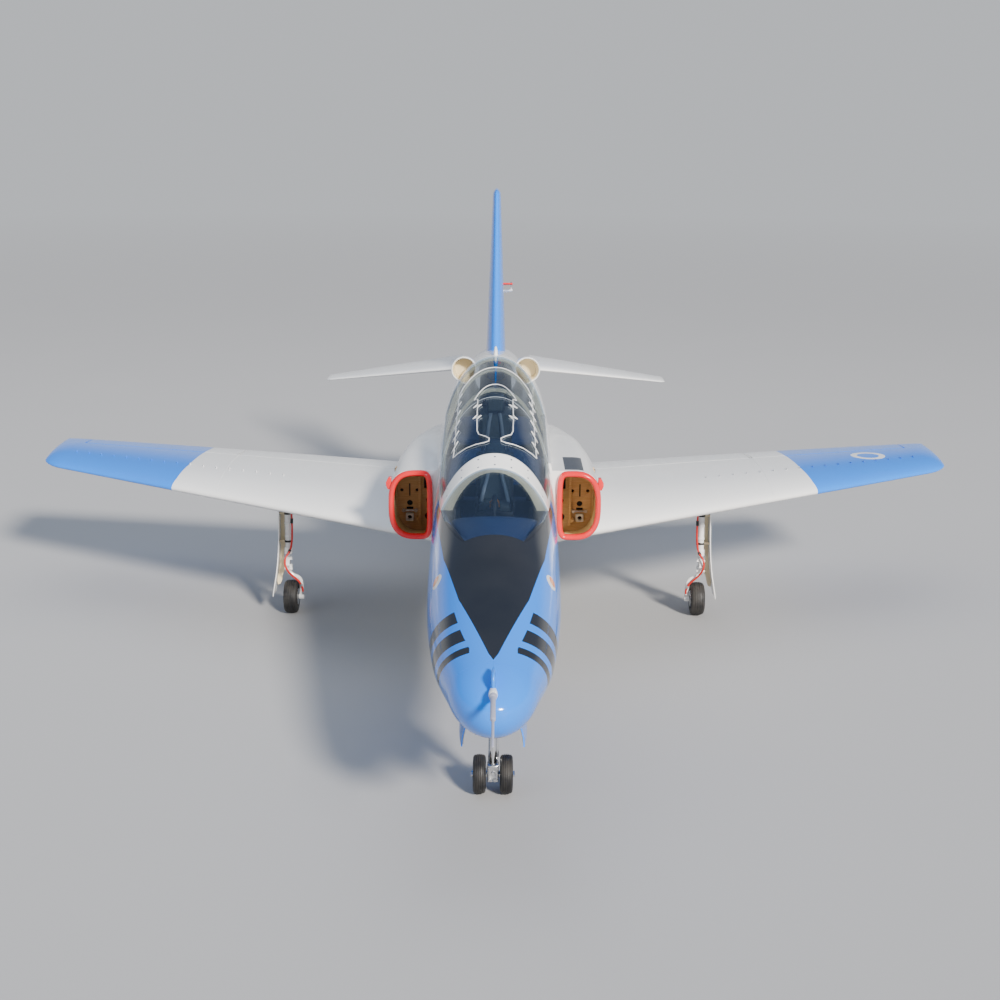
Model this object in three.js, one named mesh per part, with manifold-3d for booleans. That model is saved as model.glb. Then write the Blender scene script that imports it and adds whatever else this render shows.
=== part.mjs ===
/**
 * Large radio-controlled jet trainer: tandem cockpit, low swept wing, side intakes,
 * all-moving tailplane and retractable tricycle landing gear.
 *
 * Millimetres, +Z up, standing on its wheels with the ground at z = 0. The nose points
 * along -Y, and +X is the aircraft's left wing. Lengthwise places are given as a station,
 * the distance aft of the nose tip; at() turns a station into the frame's y.
 */
import * as THREE from 'three';
import { mergeVertices } from 'three/addons/utils/BufferGeometryUtils.js';
import Module from 'manifold-3d';

const wasm = await Module();
wasm.setup();

// ---------------------------------------------------------------- driving dimensions

const PROBE_TIP_STATION = -153;
const TAIL_END_STATION = 2060.3;
const MID_STATION = (PROBE_TIP_STATION + TAIL_END_STATION) / 2;
const GAP = 0.4; // clearance left between neighbouring pieces

const NOSE_ROUND = 70; // length of the rounded nose tip
const NOSE_TIP_Z = 240;
const NOSE_EXPONENT = 1.9;
const HULL_END = 1975;
const SKIN = 2.5;
const UPPER_EXPONENT = 2.1; // fullness of the body's cross-section above its widest line
const LOWER_EXPONENT = 2.4;
const HULL_JOINTS = [640, 1340]; // stations where the fuselage mouldings meet

const WINDSCREEN_FRONT = 374;
const CANOPY_FRONT = 537;
const CANOPY_END = 1214.6;
const GLAZING = 2;
const HOOP_WIDTH = 34;
const SILL_RAIL = 9;

const LIP_STATION = 793;
const TRUNK_START = 800;
const DUCT_INNER_X = 104;
const FORMER_STATION = 915;

const HALF_SPAN = 900;
const ROOT_LEADING_EDGE = 766; // extrapolated to the centre line
const ROOT_CHORD = 577;
const TIP_CHORD = 208;
const TIP_LEADING_EDGE = 1270;
const WING_Z = 234;
const DIHEDRAL_SLOPE = 0.035;
const ROOT_THICKNESS = 0.1; // as a fraction of the chord
const TIP_THICKNESS = 0.09;
const CAMBER = 0.014;
const ROOT_TWIST = 0.014; // slope of the section, trailing edge up, growing to the tip
const TIP_TWIST = 0.05;
const TIP_ROUND = 43; // how much of the tip is rounded off
const HINGE_FRACTION = 0.74;
const FLAP_SPAN = [192, 512];
const AILERON_SPAN = [520, 846];
const SURFACE_GAP = 1.2; // round the nose of a hinged surface
const END_GAP = 3; // at its ends, which swing sideways because the hinge is swept
const WING_TUBE_STATION = 1045;
const WING_TUBE_RADIUS = 10;

const FIN_ROOT = { z: 430, lead: 1545, chord: 360, thickness: 0.1 };
const FIN_TIP = { z: 780, lead: 1850, chord: 144, thickness: 0.085 };
const FIN_HINGE = 0.7;
const RUDDER_Z = [470, 748];
const HORN_Z = 552;
const PUSHROD_LENGTH = 47;
const HORN_REACH = 34;

const STAB_ROOT = { x: 80, lead: 1745, chord: 220, thickness: 0.085 };
const STAB_TIP = { x: 411, lead: 1979, chord: 84, thickness: 0.08 };
const STAB_ROOT_Z = 386;
const STAB_SLOPE = -0.2;
const STAB_PIVOT = 1845;

const MAIN_AXLE = { x: 392, station: 1139, z: 32 };
const MAIN_LEG_X = 396;
const MAIN_PIVOT_Z = 238;
const MAIN_WHEEL_RADIUS = 32;
const MAIN_TRAVEL = 10; // suspension travel
const NOSE_AXLE = { station: 312, z: 28 };
const NOSE_PIVOT_Z = 200;
const NOSE_WHEEL_RADIUS = 28;
const NOSE_WHEEL_X = 19;
const NOSE_DOOR = { front: { station: 106, x: 35 }, back: { station: 291, x: 42 } };
const DOOR_HINGE_DROP = 3.4; // how far the nose doors' hinge line hangs below the skin
const WHEEL_SEGMENTS = 20;

// ---------------------------------------------------------------- materials

const paint = (color, roughness = 0.25, metalness = 0) =>
  new THREE.MeshStandardMaterial({ color, roughness, metalness });
const WHITE = 0xf2f2ee;
const BLUE = 0x2f74c9;
const RED = 0xd01f2e;
const BLACK = 0x141416;
const PLYWOOD = 0xc49a62;
const TUB_BLUE = 0x1d2a48;
const SILVER = 0xb9bcc0;
const GREY = 0x55585c;

/** Clear glazing, as the canopy and windscreen are moulded from. */
const glazing = () => new THREE.MeshStandardMaterial({
  color: 0xdfe9ee, roughness: 0.05, metalness: 0, transparent: true, opacity: 0.35,
});

// ---------------------------------------------------------------- geometry helpers

const at = (x, station, z) => new THREE.Vector3(x, station - MID_STATION, z);
const mix = (a, b, t) => a + (b - a) * t;

/** A closed mesh from raw arrays, with its faces turned outward. */
function closedMesh(positions, triangles) {
  let volume = 0;
  const corner = (i) => new THREE.Vector3().fromArray(positions, triangles[i] * 3);
  for (let i = 0; i < triangles.length; i += 3) {
    volume += corner(i).dot(corner(i + 1).cross(corner(i + 2)));
  }
  const facing = volume > 0 ? triangles : [...triangles].reverse();
  const geometry = new THREE.BufferGeometry();
  geometry.setAttribute('position', new THREE.Float32BufferAttribute(positions, 3));
  geometry.setIndex(facing);
  return geometry;
}

/** Skins rings of equal point counts; open lofts are capped, ringed ones join end to end. */
function loft(rings, ringed = false) {
  const count = rings[0].length;
  const positions = rings.flat().flatMap((p) => p.toArray());
  const triangles = [];
  const spans = ringed ? rings.length : rings.length - 1;
  for (let i = 0; i < spans; i += 1) {
    const a = i * count;
    const b = ((i + 1) % rings.length) * count;
    for (let k = 0; k < count; k += 1) {
      const next = (k + 1) % count;
      triangles.push(a + k, a + next, b + next, a + k, b + next, b + k);
    }
  }
  if (!ringed) {
    [0, rings.length - 1].forEach((index) => {
      const centre = new THREE.Vector3();
      rings[index].forEach((p) => centre.addScaledVector(p, 1 / count));
      const hub = positions.length / 3;
      positions.push(...centre.toArray());
      for (let k = 0; k < count; k += 1) {
        const pair = [index * count + k, index * count + ((k + 1) % count)];
        triangles.push(hub, ...(index === 0 ? pair.reverse() : pair));
      }
    });
  }
  return closedMesh(positions, triangles);
}

/** Turns a closed geometry into a solid that can be joined and cut. */
function solid(geometry) {
  const bare = geometry.clone();
  bare.deleteAttribute('normal');
  bare.deleteAttribute('uv');
  const merged = mergeVertices(bare, 1e-4);
  return new wasm.Manifold(new wasm.Mesh({
    numProp: 3,
    vertProperties: Float32Array.from(merged.attributes.position.array),
    triVerts: Uint32Array.from(merged.index.array),
  }));
}

const union = (...solids) => solids.reduce((a, b) => a.add(b));
const cut = (body, ...tools) => tools.reduce((a, b) => a.subtract(b), body);

/** A named mesh from a geometry or a solid. */
function piece(name, shape, material) {
  let geometry = shape;
  if (!shape.isBufferGeometry) {
    const { vertProperties, triVerts } = shape.getMesh();
    geometry = new THREE.BufferGeometry();
    geometry.setAttribute('position', new THREE.BufferAttribute(vertProperties, 3));
    geometry.setIndex(new THREE.BufferAttribute(triVerts, 1));
  }
  const mesh = new THREE.Mesh(geometry, material);
  mesh.name = name;
  return mesh;
}

/** Box between two opposite corners given as x, station and z ranges. */
function block([x0, x1], [s0, s1], [z0, z1]) {
  const box = new THREE.BoxGeometry(Math.abs(x1 - x0), s1 - s0, z1 - z0);
  const centre = at((x0 + x1) / 2, (s0 + s1) / 2, (z0 + z1) / 2);
  return solid(box.translate(centre.x, centre.y, centre.z));
}

/** Round bar between two points, tapering when a second radius is given. */
function rod(from, to, radius, endRadius = radius, segments = 10) {
  const along = to.clone().sub(from);
  const bar = new THREE.CylinderGeometry(endRadius, radius, along.length(), segments);
  const turn = new THREE.Quaternion().setFromUnitVectors(
    new THREE.Vector3(0, 1, 0),
    along.clone().normalize(),
  );
  const middle = from.clone().add(to).multiplyScalar(0.5);
  return solid(bar.applyQuaternion(turn).translate(middle.x, middle.y, middle.z));
}

function ball(centre, radius) {
  return solid(new THREE.SphereGeometry(radius, 8, 6).translate(centre.x, centre.y, centre.z));
}

/** Spins [radius, height] pairs round the Z axis, then turns that axis to a direction. */
function spun(profile, origin, direction, segments = 16, twist = 0) {
  const points = profile.map(([radius, height]) => new THREE.Vector2(radius, height));
  const lathe = new THREE.LatheGeometry(points, segments);
  lathe.rotateY(twist);
  const turn = new THREE.Quaternion().setFromUnitVectors(new THREE.Vector3(0, 1, 0), direction);
  return solid(lathe.applyQuaternion(turn).translate(origin.x, origin.y, origin.z));
}

/** Curve through [station, value] pairs that never swings past them between two pairs. */
function fairLine(pairs) {
  const secants = pairs.slice(1).map(([s, v], i) => (v - pairs[i][1]) / (s - pairs[i][0]));
  const slopes = pairs.map((_, i) => {
    if (i === 0) return secants[0];
    if (i === pairs.length - 1) return secants[i - 1];
    const [before, after] = [secants[i - 1], secants[i]];
    return before * after <= 0 ? 0 : (2 * before * after) / (before + after);
  });
  return (station) => {
    const found = pairs.findIndex(([s]) => s > station);
    const i = found < 0 ? pairs.length - 2 : Math.max(found - 1, 0);
    const [[s0, v0], [s1, v1]] = [pairs[i], pairs[i + 1]];
    const width = s1 - s0;
    const t = Math.min(Math.max((station - s0) / width, 0), 1);
    const rise = (3 - 2 * t) * t * t;
    return mix(v0, v1, rise)
      + width * t * (1 - t) * ((1 - t) * slopes[i] - t * slopes[i + 1]);
  };
}

/** Signed power, for superelliptic outlines. */
const bulge = (value, exponent) => Math.sign(value) * Math.abs(value) ** (2 / exponent);

// ---------------------------------------------------------------- fuselage lines

const topLine = fairLine([
  [NOSE_ROUND, 279], [192, 307], [288, 333], [340, 350], [374, 361], [430, 379], [500, 406],
  [556, 429], [590, 444], [650, 462], [770, 481], [900, 491], [1050, 495], [1215, 492],
  [1342, 479], [1534, 456], [1725, 433], [1917, 410], [HULL_END, 394],
]);
const bottomLine = fairLine([
  [NOSE_ROUND, 186], [192, 177], [312, 176], [575, 182], [805, 188], [1150, 192], [1342, 196],
  [1534, 211], [1725, 240], [1917, 272], [HULL_END, 286],
]);
const widthLine = fairLine([
  [NOSE_ROUND, 56], [192, 80], [383, 95], [575, 99], [795, 101], [1050, 104], [1342, 108],
  [1438, 106], [1629, 92], [1879, 69], [HULL_END, 52],
]);
const waistLine = fairLine([
  [NOSE_ROUND, 237], [192, 238], [383, 250], [575, 258], [800, 265], [1054, 270], [1342, 285],
  [1629, 305], [1879, 330], [HULL_END, 340],
]);
const BODY_STATIONS = [
  1, 5, 16, 38, 70, 125, 192, 270, 340, 374, 430, 500, 556, 590, 680, 800, 950, 1100, 1215,
  1342, 1438, 1534, 1629, 1725, 1820, 1917, HULL_END,
];

/** Half width, top, bottom and widest height of the body at a station. */
function bodySize(station) {
  const s = Math.max(station, NOSE_ROUND);
  const round = station >= NOSE_ROUND
    ? 1
    : (1 - (1 - station / NOSE_ROUND) ** NOSE_EXPONENT) ** (1 / NOSE_EXPONENT);
  return {
    halfWidth: widthLine(s) * round,
    top: mix(NOSE_TIP_Z, topLine(s), round),
    bottom: mix(NOSE_TIP_Z, bottomLine(s), round),
    waist: mix(NOSE_TIP_Z, waistLine(s), round),
  };
}

function bodyRing(station, inset, count = 20) {
  const { halfWidth, top, bottom, waist } = bodySize(Math.min(station, HULL_END));
  return Array.from({ length: count }, (_, k) => {
    const angle = (2 * Math.PI * (k + 0.5)) / count;
    const [across, up] = [Math.cos(angle), Math.sin(angle)];
    const exponent = up > 0 ? UPPER_EXPONENT : LOWER_EXPONENT;
    const height = (up > 0 ? top - waist : waist - bottom) - inset;
    return at(
      bulge(across, exponent) * (halfWidth - inset),
      station,
      waist + bulge(up, exponent) * height,
    );
  });
}

/** The body between two stations, shrunk by inset (grown when inset is negative). */
function bodySolid(from, to, inset = 0) {
  const between = BODY_STATIONS.filter((s) => s > from + 2 && s < to - 2);
  return solid(loft([from, ...between, to].map((s) => bodyRing(s, inset))));
}

// Side trunks, which carry the air from the intake lips and fair into the tail.
const trunkOuter = fairLine([
  [800, 178], [950, 179], [1100, 172], [1250, 153], [1400, 128], [1520, 100],
]);
const trunkLow = fairLine([
  [800, 241], [900, 222], [980, 210], [1100, 205], [1250, 203], [1400, 206], [1520, 216],
]);
const trunkHigh = fairLine([
  [800, 359], [950, 360], [1100, 354], [1250, 340], [1400, 322], [1520, 300],
]);
const TRUNK_STATIONS = [850, 900, 980, 1100, 1250, 1325, 1400, 1460, 1520];
const TRUNK_CORE_X = 60;

/** D-shaped section: nearly flat inboard side, full round outboard side. */
function intakeRing(station, side, innerX, inset, count = 16) {
  const low = trunkLow(station) + inset;
  const high = trunkHigh(station) - inset;
  const inner = innerX + inset;
  const outer = trunkOuter(station) - inset;
  const widest = mix(DUCT_INNER_X, trunkOuter(station), 0.35);
  return Array.from({ length: count }, (_, k) => {
    const angle = (2 * Math.PI * (k + 0.5)) / count;
    const across = Math.cos(angle);
    const reach = across > 0 ? outer - widest : widest - inner;
    const exponent = across > 0 ? 2.8 : 5;
    return at(
      side * (widest + bulge(across, exponent) * reach),
      station,
      mix(low, high, 0.5) + bulge(Math.sin(angle), exponent) * (high - low) * 0.5,
    );
  });
}

function trunkSolid(from, to, side, innerX, inset) {
  const between = TRUNK_STATIONS.filter((s) => s > from + 2 && s < to - 2);
  return solid(loft([from, ...between, to].map((s) => intakeRing(s, side, innerX, inset))));
}

const sillZ = (station) => 355 + (station - 565) * 0.026;

/** Everything above the cockpit sill, raised by lift, between two stations. */
function aboveSill(from, to, lift) {
  const far = 200;
  return solid(loft([from, to].map((s) => [
    at(-far, s, sillZ(s) + lift), at(far, s, sillZ(s) + lift), at(far, s, 620), at(-far, s, 620),
  ])));
}

const slab = (from, to) => block([-600, 600], [from, to], [-50, 900]);

// ---------------------------------------------------------------- wing and tail sections

/** Half thickness of a symmetric aerofoil of unit chord and unit thickness. */
function halfThickness(x) {
  return 5 * (0.2969 * Math.sqrt(x) - 0.126 * x - 0.3516 * x ** 2 + 0.2843 * x ** 3
    - 0.1015 * x ** 4);
}

/** Chordwise outline as [fraction, height / chord], shrunk by inset, from first to last. */
function aerofoil({ chord, thickness, camber = 0, inset = 0, first = 0, last = 1, count = 10 }) {
  const fractions = Array.from({ length: count }, (_, i) => (
    mix(first, last, (1 - Math.cos((Math.PI * i) / (count - 1))) / 2)
  ));
  const height = (x) => Math.max(halfThickness(x) * thickness - inset / chord, 0.0005);
  const mean = (x) => 4 * camber * x * (1 - x);
  const upper = fractions.map((x) => [x, mean(x) + height(x)]);
  const lower = fractions.map((x) => [x, mean(x) - height(x)]).reverse();
  return first === 0 ? [...upper, ...lower.slice(0, -1)] : [...upper, ...lower];
}

const wingChord = (x) => mix(ROOT_CHORD, TIP_CHORD, x / HALF_SPAN);
const wingLead = (x) => mix(ROOT_LEADING_EDGE, TIP_LEADING_EDGE, x / HALF_SPAN);
const wingThickness = (x) => mix(ROOT_THICKNESS, TIP_THICKNESS, x / HALF_SPAN);
const wingZ = (x) => WING_Z + DIHEDRAL_SLOPE * x;

const wingTwist = (x) => mix(ROOT_TWIST, TIP_TWIST, x / HALF_SPAN);
/** Height added by the twist at a chord fraction, about the quarter chord. */
const twistLift = (x, fraction) => (fraction - 0.25) * wingChord(x) * wingTwist(x);

/** Point on the wing at a chord fraction, on the mean line of the section. */
function wingPoint(x, side, fraction) {
  const chord = wingChord(x);
  const lift = 4 * CAMBER * fraction * (1 - fraction) * chord + twistLift(x, fraction);
  return at(side * x, wingLead(x) + fraction * chord, wingZ(x) + lift);
}

/** How much of the section is left at x: 1 inboard, falling to a little at the very tip. */
const tipFullness = (x) => (
  Math.sqrt(Math.max(1 - (Math.max(x - HALF_SPAN + TIP_ROUND, 0) / TIP_ROUND) ** 2, 0.01))
);

/** Wing section at a distance x from the centre line; the tip's outline rounds off. */
function wingRing(x, side, options = {}) {
  const chord = wingChord(x);
  const left = tipFullness(x);
  const [noseCut, tailCut] = [0.16 * (1 - left), 0.03 * (1 - left)];
  const outline = aerofoil({
    chord, thickness: wingThickness(x) * Math.sqrt(left), camber: CAMBER, ...options,
  });
  return outline.map(([fraction, height]) => {
    const along = mix(noseCut, 1 - tailCut, fraction);
    return at(
      side * x,
      wingLead(x) + along * chord,
      wingZ(x) + height * chord * (1 - noseCut - tailCut) + twistLift(x, along),
    );
  });
}

function wingSolid(side) {
  const tip = [0, 0.35, 0.65, 0.88, 1].map((t) => HALF_SPAN - TIP_ROUND * (1 - t));
  return solid(loft([100, 300, 600, ...tip].map((x) => wingRing(x, side))));
}

function wingCavity(side) {
  const options = { inset: SKIN, first: 0.06, last: 0.66, count: 9 };
  return solid(loft([90, HALF_SPAN - TIP_ROUND - 15].map((x) => wingRing(x, side, options))));
}

/**
 * Space taken by a hinged trailing surface: a wedge behind the hinge line with a round nose.
 * across is the thickness direction; grow opens out the nose and endGrow both ends, for the
 * matching cut.
 */
function hingedSpace(start, end, radii, across, grow = 0, endGrow = 0) {
  const aft = new THREE.Vector3(0, 1, 0);
  const along = end.clone().sub(start).normalize();
  const ends = [
    start.clone().addScaledVector(along, -endGrow),
    end.clone().addScaledVector(along, endGrow),
  ];
  const wedge = ends.map((p) => [[-90, 0], [90, 0], [90, 400], [-90, 400]].map(([side, back]) => (
    p.clone().addScaledVector(across, side).addScaledVector(aft, back)
  )));
  const roundNose = ends.map((p, i) => Array.from({ length: 16 }, (_, k) => {
    const angle = (2 * Math.PI * k) / 16;
    const radius = radii[i] + grow;
    return p.clone()
      .addScaledVector(across, radius * Math.cos(angle))
      .addScaledVector(aft, radius * Math.sin(angle));
  }));
  return union(solid(loft(wedge)), solid(loft(roundNose)));
}

function wingHingedSpace(side, [x0, x1], grow = 0, endGrow = 0) {
  const radii = [x0, x1].map((x) => (
    halfThickness(HINGE_FRACTION) * wingThickness(x) * wingChord(x)
  ));
  const [start, end] = [x0, x1].map((x) => wingPoint(x, side, HINGE_FRACTION));
  return hingedSpace(start, end, radii, new THREE.Vector3(0, 0, 1), grow, endGrow);
}

const finAt = (z) => {
  const t = (z - FIN_ROOT.z) / (FIN_TIP.z - FIN_ROOT.z);
  return {
    lead: mix(FIN_ROOT.lead, FIN_TIP.lead, t),
    chord: mix(FIN_ROOT.chord, FIN_TIP.chord, t),
    thickness: mix(FIN_ROOT.thickness, FIN_TIP.thickness, t),
  };
};
const finHinge = (z) => at(0, finAt(z).lead + FIN_HINGE * finAt(z).chord, z);

function finRing(z, options = {}, round = 1) {
  const { lead, chord, thickness } = finAt(z);
  const shrink = mix(0.8, 1, round);
  return aerofoil({ chord, thickness: thickness * round, ...options }).map(([x, height]) => at(
    height * chord,
    lead + chord * (1 - shrink) * 0.7 + x * chord * shrink,
    z,
  ));
}

function stabRing(x, side, options = {}, round = 1) {
  const t = (x - STAB_ROOT.x) / (STAB_TIP.x - STAB_ROOT.x);
  const chord = mix(STAB_ROOT.chord, STAB_TIP.chord, t);
  const lead = mix(STAB_ROOT.lead, STAB_TIP.lead, t);
  const thickness = mix(STAB_ROOT.thickness, STAB_TIP.thickness, t) * round;
  const shrink = mix(0.8, 1, round);
  return aerofoil({ chord, thickness, ...options }).map(([fraction, height]) => at(
    side * x,
    lead + chord * (1 - shrink) * 0.7 + fraction * chord * shrink,
    STAB_ROOT_Z + STAB_SLOPE * (x - STAB_ROOT.x) + height * chord,
  ));
}

// ---------------------------------------------------------------- fuselage and cockpit

const SIDES = [['left', 1], ['right', -1]];

const hullOuter = union(
  bodySolid(NOSE_ROUND + GAP, HULL_END),
  ...SIDES.map(([, side]) => trunkSolid(TRUNK_START, 1520, side, TRUNK_CORE_X, 0)),
);
const hullInner = union(
  bodySolid(NOSE_ROUND - 10, HULL_END + 10, SKIN),
  ...SIDES.map(([, side]) => trunkSolid(TRUNK_START - 1, 1520, side, TRUNK_CORE_X, SKIN)),
);
/** The closed outside of the fuselage plus a clearance, for trimming what is fitted to it. */
const hullClear = union(
  bodySolid(1, HULL_END + 5, -GAP),
  ...SIDES.map(([, side]) => trunkSolid(TRUNK_START, 1520, side, TRUNK_CORE_X, -GAP)),
);

/**
 * Round bay that a main wheel folds up into, shared by the wing and the fuselage side. It is
 * long enough for the wheel at both ends of the suspension's travel.
 */
function wheelWell(side) {
  const centre = MAIN_LEG_X - (MAIN_PIVOT_Z - MAIN_AXLE.z);
  const radius = MAIN_WHEEL_RADIUS + 4;
  const bays = [centre - 3, centre + MAIN_TRAVEL].map((x) => rod(
    at(side * x, MAIN_AXLE.station, 150),
    at(side * x, MAIN_AXLE.station, MAIN_PIVOT_Z + 21),
    radius,
    radius,
    20,
  ));
  return union(...bays);
}

/** Height of the body's underside at a distance x from the centre line. */
function undersideZ(x, station) {
  const { halfWidth, bottom, waist } = bodySize(station);
  const across = (x / halfWidth) ** (LOWER_EXPONENT / 2);
  return waist - bulge(Math.sqrt(1 - across ** 2), LOWER_EXPONENT) * (waist - bottom);
}

/** Tapered column under the nose, from the inner x to the doors' edge less a margin. */
function noseBayColumn(side, innerX, margin) {
  const ring = ({ station, x }, overrun) => [[innerX, 120], [x - margin, 120], [x - margin, 214],
    [innerX, 214]].map(([across, z]) => at(side * across, station + overrun, z));
  return solid(loft([ring(NOSE_DOOR.front, margin), ring(NOSE_DOOR.back, -margin)]));
}

function noseBayOpening() {
  const { station } = NOSE_DOOR.back;
  return union(
    noseBayColumn(1, -NOSE_DOOR.front.x, -1),
    noseBayColumn(-1, -NOSE_DOOR.front.x, -1),
    block([-21, 21], [station, NOSE_AXLE.station + 32], [120, 214]),
  );
}

function fuselage() {
  const [joint1, joint2] = HULL_JOINTS;
  const skin = cut(
    hullOuter,
    hullInner,
    aboveSill(WINDSCREEN_FRONT - GAP, CANOPY_END + GAP, 0),
    noseBayOpening(),
    rod(at(-200, STAB_PIVOT, STAB_ROOT_Z), at(200, STAB_PIVOT, STAB_ROOT_Z), 6.5),
    rod(at(-200, WING_TUBE_STATION, WING_Z + 6), at(200, WING_TUBE_STATION, WING_Z + 6), 18),
    ...SIDES.map(([, side]) => wheelWell(side)),
  );
  const noseTip = cut(bodySolid(1, NOSE_ROUND), bodySolid(7, NOSE_ROUND + 10, 3));
  return [
    piece('nose_tip', noseTip, paint(BLUE)),
    piece('fuselage_front', skin.intersect(slab(0, joint1)), paint(BLUE)),
    piece('fuselage_centre', skin.intersect(slab(joint1 + GAP, joint2)), paint(WHITE)),
    piece('fuselage_rear', skin.intersect(slab(joint2 + GAP, HULL_END + 5)), paint(WHITE)),
  ];
}

/** Air data boom: a thin tube with a collar, carried by a short blade on top of the nose. */
function pitotProbe() {
  const boomZ = 264;
  const blade = [[8, 64], [16, 54]].map(([front, back], i) => {
    const z = [246, 281][i];
    const middle = (front + back) / 2;
    const side = 4 - i;
    return [at(0, front, z), at(side, middle, z), at(0, back, z), at(-side, middle, z)];
  });
  const boom = union(
    rod(at(0, PROBE_TIP_STATION, boomZ), at(0, -78, boomZ), 1.4, 1.8, 12),
    rod(at(0, -80, boomZ), at(0, -4, boomZ), 3.3, 3.3, 12),
    rod(at(0, -8, boomZ), at(0, 24, boomZ), 4.2, 5, 12),
  );
  return [piece('pitot_probe', cut(union(boom, solid(loft(blade))), hullClear), paint(BLUE))];
}

function canopyAndWindscreen() {
  const glazed = cut(hullOuter, bodySolid(330, CANOPY_END + 20, GLAZING));
  const framed = cut(hullOuter, bodySolid(330, CANOPY_END + 20, GLAZING + 1));
  const frontEdge = CANOPY_FRONT + HOOP_WIDTH;
  const rearEdge = CANOPY_END - 12;
  const window = aboveSill(frontEdge, rearEdge, SILL_RAIL);
  const rearHoop = cut(
    bodySolid(330, CANOPY_END + 20, GLAZING + GAP),
    bodySolid(320, CANOPY_END + 30, GLAZING + 3.5),
  ).intersect(aboveSill(CANOPY_FRONT, CANOPY_END, GAP)).intersect(slab(1050, 1057));
  const frame = union(
    cut(framed.intersect(aboveSill(CANOPY_FRONT, CANOPY_END, GAP)), window),
    rearHoop,
  );
  const pane = glazed.intersect(aboveSill(frontEdge + GAP, rearEdge - GAP, SILL_RAIL + GAP));
  const screen = glazed.intersect(aboveSill(WINDSCREEN_FRONT, CANOPY_FRONT - GAP, GAP));
  const blast = cut(bodySolid(600, 640, 14), bodySolid(590, 650, 16))
    .intersect(aboveSill(600, 640, 3));
  return [
    piece('windscreen', screen, glazing()),
    piece('blast_screen', blast, glazing()),
    piece('canopy_frame', frame, paint(WHITE)),
    piece('canopy_glass', pane, glazing()),
  ];
}

/** Open tray under the glazing, with decks between the two seats. */
function cockpit() {
  const [front, back] = [WINDSCREEN_FRONT + 3, 1196];
  const [floor, rim] = [292, -1];
  const room = (inset, s0, s1, z0) => cut(bodySolid(s0, s1, inset), aboveSill(s0 - 5, s1 + 5, rim))
    .intersect(block([-150, 150], [s0, s1], [z0, 500]));
  const well = bodySolid(front + 3, back - 3, 7)
    .intersect(block([-150, 150], [front, back], [floor + 3, 600]));
  const tray = cut(room(4, front, back, floor), well);
  const footwell = 30; // each panel stops short of the floor, which leaves the deck's box open
  const decks = [[front, 488, 488], [752, 846, 752], [1044, back, 1047]].map(([s0, s1, panel]) => {
    const plate = room(5, s0, s1, 0).intersect(aboveSill(s0 - 1, s1 + 1, rim - 4));
    const face = room(5, panel - 3, panel, floor + footwell);
    return union(plate, face);
  });
  const seat = (station, headZ) => union(
    block([-30, 30], [station, station + 62], [floor + 3.4, floor + 30]),
    block([-32, 32], [station + 50, station + 64], [floor + 3.4, headZ - 24]),
    block([-18, 18], [station + 48, station + 66], [headZ - 30, headZ]),
  );
  return [
    piece('cockpit_tub', union(tray, ...decks), paint(TUB_BLUE, 0.5)),
    piece('seat_front', seat(668, 428), paint(BLACK, 0.7)),
    piece('seat_rear', seat(962, 452), paint(BLACK, 0.7)),
  ];
}

/** Red D-shaped lip, plywood duct behind it and the shoulder scoop on one side. */
function intakes(name, side) {
  const lip = intakeRing(TRUNK_START, side, DUCT_INNER_X, 3.5, 24).map((p, k, path) => {
    const before = path[(k + path.length - 1) % path.length];
    const after = path[(k + 1) % path.length];
    const run = after.clone().sub(before).normalize();
    const outward = new THREE.Vector3(run.z, 0, -run.x);
    return Array.from({ length: 6 }, (_, j) => {
      const angle = (2 * Math.PI * j) / 6;
      return p.clone()
        .addScaledVector(outward, 3.8 * Math.cos(angle))
        .add(new THREE.Vector3(0, LIP_STATION - TRUNK_START + 6.6 * Math.sin(angle), 0));
    });
  });
  const duct = cut(
    trunkSolid(TRUNK_START + 4, FORMER_STATION - GAP, side, DUCT_INNER_X, SKIN + GAP + 0.3),
    trunkSolid(TRUNK_START, FORMER_STATION + 5, side, DUCT_INNER_X, SKIN + GAP + 2),
  );
  const scoopRing = (station, radius, x, z) => Array.from({ length: 12 }, (_, k) => {
    const angle = (2 * Math.PI * k) / 12;
    return at(side * (x + radius * Math.cos(angle)), station, z + radius * Math.sin(angle));
  });
  const scoop = cut(
    solid(loft([
      scoopRing(1226, 18, 66, 468), scoopRing(1262, 18, 65, 464),
      scoopRing(1310, 13, 60, 456), scoopRing(1352, 5, 54, 450),
    ])),
    rod(at(side * 66, 1200, 468), at(side * 65, 1262, 464), 15),
    hullClear,
  );
  return [
    piece(`intake_lip_${name}`, loft(lip, true), paint(RED)),
    piece(`intake_duct_${name}`, duct, paint(PLYWOOD, 0.7)),
    piece(`scoop_${name}`, scoop, paint(WHITE)),
  ];
}

/** Plywood former across the fuselage behind the ducts, with lightening holes. */
function mainFormer() {
  const inside = union(
    bodySolid(FORMER_STATION - 20, FORMER_STATION + 20, SKIN + GAP),
    ...SIDES.map(([, side]) => (
      trunkSolid(TRUNK_START, 1520, side, TRUNK_CORE_X, SKIN + GAP)
    )),
  );
  const hole = (x, z, radius) => rod(
    at(x, FORMER_STATION - 5, z),
    at(x, FORMER_STATION + 9, z),
    radius,
  );
  const holes = SIDES.flatMap(([, side]) => [
    block([side * 126, side * 152], [900, 930], [272, 300]),
    hole(side * 139, 322, 8),
    hole(side * 160, 286, 5),
    hole(side * 118, 250, 5),
  ]);
  return [piece('main_former', cut(
    inside.intersect(slab(FORMER_STATION, FORMER_STATION + 4)),
    block([-98.5, 98.5], [900, 930], [287, 500]),
    block([-52, 52], [900, 930], [212, 268]),
    ...holes,
  ), paint(PLYWOOD, 0.7))];
}

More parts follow.
